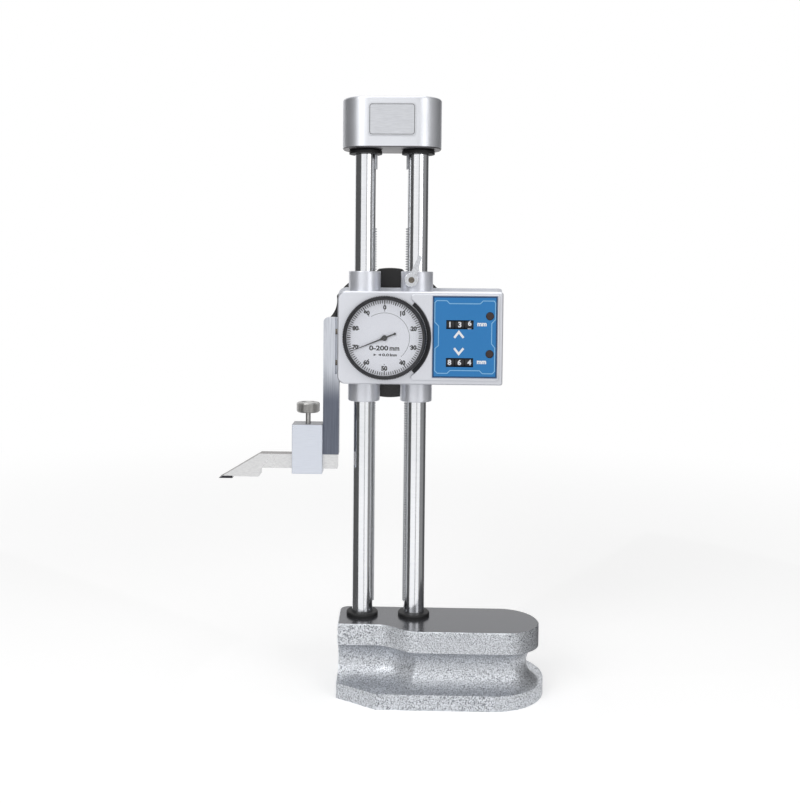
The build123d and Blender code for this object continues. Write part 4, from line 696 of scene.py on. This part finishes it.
def buildBezel():
    front, back = bezelLow.y, bezelHigh.y
    outer = (bezelHigh.x - bezelLow.x) / 2
    shape = bezelShape
    window, wall = front + shape["windowDepth"], back - shape["backWall"]
    profile = [
        (outer - shape["backSlope"][0], back), (outer, back - shape["backSlope"][1]),
        (outer, front + shape["frontSlope"][1]), (outer - shape["frontSlope"][0], front),
        (outer - shape["rimWidth"], front), (shape["lipRadius"], front + shape["lipFall"]),
        (shape["windowRadius"], window), (shape["grooveRadius"], window), (shape["grooveRadius"], wall),
        (shape["backRadius"], wall), (shape["backRadius"], back),
    ]
    rim = (1, 2, 3)
    vertices, faces = latheRing(
        profile, shape["ridges"] * 4,
        lambda reach, angle, along: (dialX + reach * math.cos(angle), along, dialZ + reach * math.sin(angle)),
        knurl(rim, shape["ridgeDepth"]),
    )
    ring = addPiece("bezel_knurled", vertices, faces, finishes["bezel_black"], "bezel")
    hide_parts("bezel")


buildDialPrint()
buildBezel()
buildHubCap()
buildDialWell()
print("dial and bezel")

# Counter plate print, the painted shade along its edge, and drum figures
plateLow, plateHigh = (Vector(c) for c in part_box("counter_plate"))
counterPrint = {
    "lift": 0.03 * mm, "lineWidth": 0.5 * mm, "chevronWidth": 1.35 * mm, "edge": 0.8 * mm, "edgeInset": 0.45,
    "unitHeight": 2.1 * mm, "unitWeight": 0.05, "units": [(30.2, 17.2), (30.2, 40.5)],
    # points right of and below the plate's top left corner, in millimetres
    "line": [(1.2, 3.9), (2.4, 2.7), (8.5, 2.7), (10.3, 4.5), (29.0, 4.5), (30.8, 2.7), (37.5, 2.7),
             (38.4, 3.9), (38.4, 14.1), (36.2, 16.5), (36.2, 29.1), (38.2, 31.6), (38.2, 46.0), (36.9, 47.5),
             (30.8, 47.5), (29.0, 45.7), (10.9, 45.7), (9.1, 47.5), (3.0, 47.5), (1.5, 46.0), (1.5, 32.2),
             (3.6, 30.4), (3.6, 18.3), (1.2, 15.9)],
    "chevrons": [[(13.3, 25.5), (16.1, 21.9), (19.0, 25.5)], [(13.3, 31.9), (16.1, 35.5), (19.0, 31.9)]],
}


def onPlate(right, down):
    return plateLow.x + right * mm, plateHigh.z - down * mm


def buildCounterPrint():
    depth = plateLow.y - counterPrint["lift"]
    lines = FlatPrint(depth)
    lines.ribbon([onPlate(*p) for p in counterPrint["line"]], counterPrint["lineWidth"], closed=True)
    lines.finish("counter_plate_line", finishes["printPaleBlue"], "slider")
    wide, tall = (plateHigh.x - plateLow.x) / mm, (plateHigh.z - plateLow.z) / mm
    inset = counterPrint["edgeInset"]
    # the dark blue band just inside the plate's edge is painted shade of the gap round the plate
    edge = FlatPrint(depth)
    edge.ribbon([onPlate(*p) for p in ((inset, inset), (wide - inset, inset), (wide - inset, tall - inset),
                                       (inset, tall - inset))], counterPrint["edge"], closed=True)
    edge.finish("counter_plate_edge_shade", finishes["paintedEdgeShadeBlue"], "slider")
    marks = FlatPrint(depth)
    for chevron in counterPrint["chevrons"]:
        marks.ribbon([onPlate(*p) for p in chevron], counterPrint["chevronWidth"])
    for right, down in counterPrint["units"]:
        x, z = onPlate(right, down)
        marks.words("mm", counterPrint["unitHeight"], x, z, weight=counterPrint["unitWeight"])
    marks.finish("counter_plate_marks", finishes["printWhite"], "slider")


drumFigures = {
    "height": 3.5 * mm, "lift": 0.04 * mm, "weight": 0.04, "apart": 36, "cutStep": 0.35 * mm, "cuts": 5,
    # figure at the window in the stored pose, and which way they follow on
    "upper_hundreds": (1.0, 1), "upper_tens": (3.0, 1), "upper_units": (6.2, 1),
    "lower_hundreds": (8.0, -1), "lower_tens": (6.0, -1), "lower_units": (4.0, -1),
}


def buildDrumFigures(name):
    shown, order = drumFigures[name]
    low, high = (Vector(c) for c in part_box(name + "_drum"))
    middle = (low + high) / 2
    radius = (high.z - low.z) / 2 + drumFigures["lift"]
    vertices, faces = [], []
    for figure in range(10):
        points, shape = wordShape(str(figure), drumFigures["height"], weight=drumFigures["weight"])
        work = bmesh.new()
        made = [work.verts.new((u, v, 0)) for u, v in points]
        for face in shape:
            work.faces.new([made[index] for index in face])
        # cut across so that the figure can wrap round the drum
        for step in range(-drumFigures["cuts"], drumFigures["cuts"] + 1):
            geometry = list(work.verts) + list(work.edges) + list(work.faces)
            bmesh.ops.bisect_plane(work, geom=geometry, plane_co=(0, step * drumFigures["cutStep"], 0),
                                   plane_no=(0, 1, 0))
        work.verts.index_update()
        base = len(vertices)
        for vert in work.verts:
            angle = order * (figure - shown) * math.radians(drumFigures["apart"]) - vert.co.y / radius
            vertices.append((middle.x + vert.co.x, middle.y - radius * math.cos(angle),
                             middle.z - radius * math.sin(angle)))
        faces += [tuple(base + v.index for v in face.verts) for face in work.faces]
        work.free()
    addPiece(name + "_figures", vertices, faces, finishes["printWhite"], name)


buildCounterPrint()
for drum in ("upper_hundreds", "upper_tens", "upper_units", "lower_hundreds", "lower_tens", "lower_units"):
    buildDrumFigures(drum)
print("counters")

# Knurled thumb screw
thumb = {
    "ridges": 56, "ridgeDepth": 0.4 * mm, "shank": 1.6 * mm, "tipSlope": (0.25 * mm, 0.3 * mm),
    "head": 6.3 * mm, "edge": 0.7 * mm, "neck": (0.9 * mm, 0.4 * mm),
    "dishRim": 2.2 * mm, "dishEdge": 2.6 * mm, "dishDepth": 0.3 * mm,
}


def buildThumbScrew():
    low, high = (Vector(c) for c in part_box("thumb_screw"))
    middle = (low + high) / 2
    radius = (high.x - low.x) / 2
    headLow, dish = high.z - thumb["head"], high.z - thumb["dishDepth"]
    shank, edge = thumb["shank"], thumb["edge"]
    profile = [
        (onAxis, low.z), (shank - thumb["tipSlope"][0], low.z), (shank, low.z + thumb["tipSlope"][1]),
        (shank, headLow - thumb["neck"][1]), (shank + thumb["neck"][0], headLow), (radius - edge, headLow),
        (radius, headLow + edge), (radius, high.z - edge), (radius - edge, high.z),
        (radius - thumb["dishRim"], high.z), (radius - thumb["dishEdge"], dish), (onAxis, dish),
    ]
    rim = (6, 7)
    vertices, faces = latheRing(
        profile, thumb["ridges"] * 4,
        lambda reach, angle, along: (middle.x + reach * math.cos(angle),
                                     middle.y + reach * math.sin(angle), along),
        knurl(rim, thumb["ridgeDepth"]),
    )
    screw = addPiece("thumb_screw_knurled", vertices, faces, finishes["thumb_steel"], "thumb_screw")
    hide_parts("thumb_screw")


buildThumbScrew()
print("thumb screw")

# Border of the cap plate, which is otherwise left bare
capPlate = {"inset": 0.9 * mm, "width": 0.3 * mm, "corner": 1.6 * mm, "lift": 0.03 * mm, "cornerSteps": 6}


def buildCapBorder():
    low, high = (Vector(c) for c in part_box("cap_plate"))
    left, right = low.x + capPlate["inset"], high.x - capPlate["inset"]
    foot, top = low.z + capPlate["inset"], high.z - capPlate["inset"]
    corner = capPlate["corner"]
    points = []
    for x, z, start in ((right - corner, top - corner, 0), (left + corner, top - corner, 90),
                        (left + corner, foot + corner, 180), (right - corner, foot + corner, 270)):
        for step in range(capPlate["cornerSteps"] + 1):
            angle = math.radians(start + 90 / capPlate["cornerSteps"] * step)
            points.append((x + corner * math.cos(angle), z + corner * math.sin(angle)))
    border = FlatPrint(low.y - capPlate["lift"])
    border.ribbon(points, capPlate["width"], closed=True)
    border.finish("cap_plate_border", finishes["printBlack"], "stand")


buildCapBorder()
print("cap plate")


# Floor, studio cards and lamps
def glowMaterial(name, strength):
    material = bpy.data.materials.new(name)
    material.use_nodes = True
    tree = material.node_tree
    tree.nodes.clear()
    glow = tree.nodes.new("ShaderNodeEmission")
    glow.inputs["Color"].default_value = (1, 1, 1, 1)
    glow.inputs["Strength"].default_value = strength
    end = tree.nodes.new("ShaderNodeOutputMaterial")
    tree.links.new(glow.outputs[0], end.inputs[0])
    return material


def addStage(name, vertices, faces, material):
    mesh = bpy.data.meshes.new(name)
    mesh.from_pydata(vertices, [], faces)
    mesh.materials.append(material)
    card = bpy.data.objects.new(name, mesh)
    bpy.context.scene.collection.objects.link(card)
    return card


# lift brightens the floor for what looks at it, and the fade carries it over into the white room
floorLook = {
    "colour": (0.82, 0.82, 0.82, 1), "roughness": 0.9, "lift": 0.42,
    "fadeStart": 0.28, "fadeEnd": 1.0, "size": 12.0,
}


def buildFloor():
    material = bpy.data.materials.new("paleFloor")
    material.use_nodes = True
    tree = material.node_tree
    nodes, links = tree.nodes, tree.links
    shader = nodes["Principled BSDF"]
    shader.inputs["Base Color"].default_value = floorLook["colour"]
    shader.inputs["Roughness"].default_value = floorLook["roughness"]
    shader.inputs["Emission Color"].default_value = (1, 1, 1, 1)
    path = nodes.new("ShaderNodeLightPath")
    lift = nodes.new("ShaderNodeMath")
    lift.operation = "MULTIPLY"
    lift.inputs[1].default_value = floorLook["lift"]
    place = nodes.new("ShaderNodeTexCoord")
    distance = nodes.new("ShaderNodeVectorMath")
    distance.operation = "LENGTH"
    fade = nodes.new("ShaderNodeMapRange")
    fade.interpolation_type = "SMOOTHSTEP"
    fade.inputs["From Min"].default_value = floorLook["fadeStart"]
    fade.inputs["From Max"].default_value = floorLook["fadeEnd"]
    share = nodes.new("ShaderNodeMath")
    share.operation = "MULTIPLY"
    white = nodes.new("ShaderNodeEmission")
    mix = nodes.new("ShaderNodeMixShader")
    seen = nodes.new("ShaderNodeMath")
    seen.operation = "MAXIMUM"
    links.new(path.outputs["Is Camera Ray"], seen.inputs[0])
    links.new(path.outputs["Is Glossy Ray"], seen.inputs[1])
    links.new(seen.outputs[0], lift.inputs[0])
    links.new(lift.outputs[0], shader.inputs["Emission Strength"])
    links.new(place.outputs["Object"], distance.inputs[0])
    links.new(distance.outputs["Value"], fade.inputs["Value"])
    links.new(fade.outputs["Result"], share.inputs[0])
    links.new(seen.outputs[0], share.inputs[1])
    links.new(share.outputs[0], mix.inputs[0])
    links.new(shader.outputs[0], mix.inputs[1])
    links.new(white.outputs[0], mix.inputs[2])
    links.new(mix.outputs[0], nodes["Material Output"].inputs[0])
    size = floorLook["size"]
    corners = [(-size, -size, 0), (size, -size, 0), (size, size, 0), (-size, size, 0)]
    addStage("floor", corners, [(0, 1, 2, 3)], material)


# cards that only polished metal sees: first and last angle in degrees from the reader's side,
# with the right as positive, and brightness
studioCards = [
    ("card_left_dark", -128, -47, 0.1), ("card_centre_line", 9, 16, 0.38),
    ("card_right_grey", 52, 98, 0.28), ("card_right_dark", 98, 146, 0.1),
]
cardSpace = {"near": 0.13, "far": 0.48, "floor": 0.001, "top": 1.1, "steps": 12}


def buildCards():
    # each card stands in a ring round the gauge and runs inwards along the floor
    for name, first, last, level in studioCards:
        vertices, faces = [], []
        steps = cardSpace["steps"]
        for step in range(steps + 1):
            angle = math.radians(first + (last - first) * step / steps)
            for reach, height in (("near", "floor"), ("far", "floor"), ("far", "top")):
                vertices.append((cardSpace[reach] * math.sin(angle), -cardSpace[reach] * math.cos(angle),
                                 cardSpace[height]))
        for step in range(steps):
            for row in range(2):
                faces.append((3 * step + row, 3 * step + 3 + row, 3 * step + 4 + row, 3 * step + 1 + row))
        card = addStage(name, vertices, faces, glowMaterial(name, level))
        card.visible_camera = False
        card.visible_diffuse = False
        card.visible_shadow = False
        card.visible_transmission = False


lamps = {
    "key_left": {"place": (-0.75, -1.15, 1.05), "aim": (0.0, 0.0, 0.2), "size": (0.9, 0.9), "power": 8.2},
    "fill_right": {"place": (0.95, -1.0, 0.65), "aim": (0.0, 0.0, 0.18), "size": (0.8, 0.8), "power": 3.6},
    "top_soft": {"place": (0.0, -0.15, 1.35), "aim": (0.0, 0.0, 0.2), "size": (1.0, 0.8), "power": 3.2},
}


def addLamp(name, place, aim, size, power):
    lamp = bpy.data.lights.new(name, "AREA")
    lamp.shape = "RECTANGLE"
    lamp.size, lamp.size_y = size
    lamp.energy = power
    holder = bpy.data.objects.new(name, lamp)
    bpy.context.scene.collection.objects.link(holder)
    holder.location = place
    holder.rotation_euler = (Vector(aim) - Vector(place)).to_track_quat("-Z", "Y").to_euler()


worldLook = {"lighting": 0.36, "seen": 1.0}  # how brightly the room lights, and how bright it looks


def buildWorld():
    world = bpy.data.worlds.new("studio")
    bpy.context.scene.world = world
    world.use_nodes = True
    tree = world.node_tree
    background = tree.nodes["Background"]
    background.inputs["Color"].default_value = (1, 1, 1, 1)
    path = tree.nodes.new("ShaderNodeLightPath")
    seen = tree.nodes.new("ShaderNodeMath")
    seen.operation = "MAXIMUM"
    seenToo = tree.nodes.new("ShaderNodeMath")
    seenToo.operation = "MAXIMUM"
    level = tree.nodes.new("ShaderNodeMix")
    level.data_type = "FLOAT"
    level.inputs[2].default_value = worldLook["lighting"]
    level.inputs[3].default_value = worldLook["seen"]
    tree.links.new(path.outputs["Is Camera Ray"], seen.inputs[0])
    tree.links.new(path.outputs["Is Glossy Ray"], seen.inputs[1])
    tree.links.new(seen.outputs[0], seenToo.inputs[0])
    tree.links.new(path.outputs["Is Transmission Ray"], seenToo.inputs[1])
    tree.links.new(seenToo.outputs[0], level.inputs[0])
    tree.links.new(level.outputs[0], background.inputs["Strength"])


buildFloor()
buildCards()
buildWorld()
for name, values in lamps.items():
    addLamp(name, **values)
print("studio")

# Camera, in front and a little above the middle
viewpoint = {
    "place": (5.3 * mm, -629.75 * mm, 269.55 * mm), "pitch": 2.728, "roll": 0.474, "yaw": 1.585,
    "focalPixels": 980.92, "centreX": 371.69, "centreY": 320.11, "width": 800, "height": 803, "sensor": 36.0,
}


def buildCamera():
    yaw, pitch, roll = (math.radians(viewpoint[k]) for k in ("yaw", "pitch", "roll"))
    right = Vector((math.cos(yaw), math.sin(yaw), 0))
    level = Vector((-math.sin(yaw), math.cos(yaw), 0))
    forward = math.cos(pitch) * level - math.sin(pitch) * Vector((0, 0, 1))
    up = math.sin(pitch) * level + math.cos(pitch) * Vector((0, 0, 1))
    across = math.cos(roll) * right + math.sin(roll) * up
    upright = math.cos(roll) * up - math.sin(roll) * right
    lens = bpy.data.cameras.new("camera")
    lens.sensor_fit = "HORIZONTAL"
    lens.sensor_width = viewpoint["sensor"]
    lens.lens = viewpoint["focalPixels"] * viewpoint["sensor"] / viewpoint["width"]
    lens.shift_x = (viewpoint["width"] / 2 - viewpoint["centreX"]) / viewpoint["width"]
    lens.shift_y = (viewpoint["centreY"] - viewpoint["height"] / 2) / viewpoint["width"]
    lens.clip_start = 0.01
    lens.clip_end = 60.0
    holder = bpy.data.objects.new("camera", lens)
    bpy.context.scene.collection.objects.link(holder)
    turn = Matrix((across, upright, -forward)).transposed().to_4x4()
    holder.matrix_world = Matrix.Translation(viewpoint["place"]) @ turn
    bpy.context.scene.camera = holder


buildCamera()
bpy.context.scene.view_settings.view_transform = "Standard"
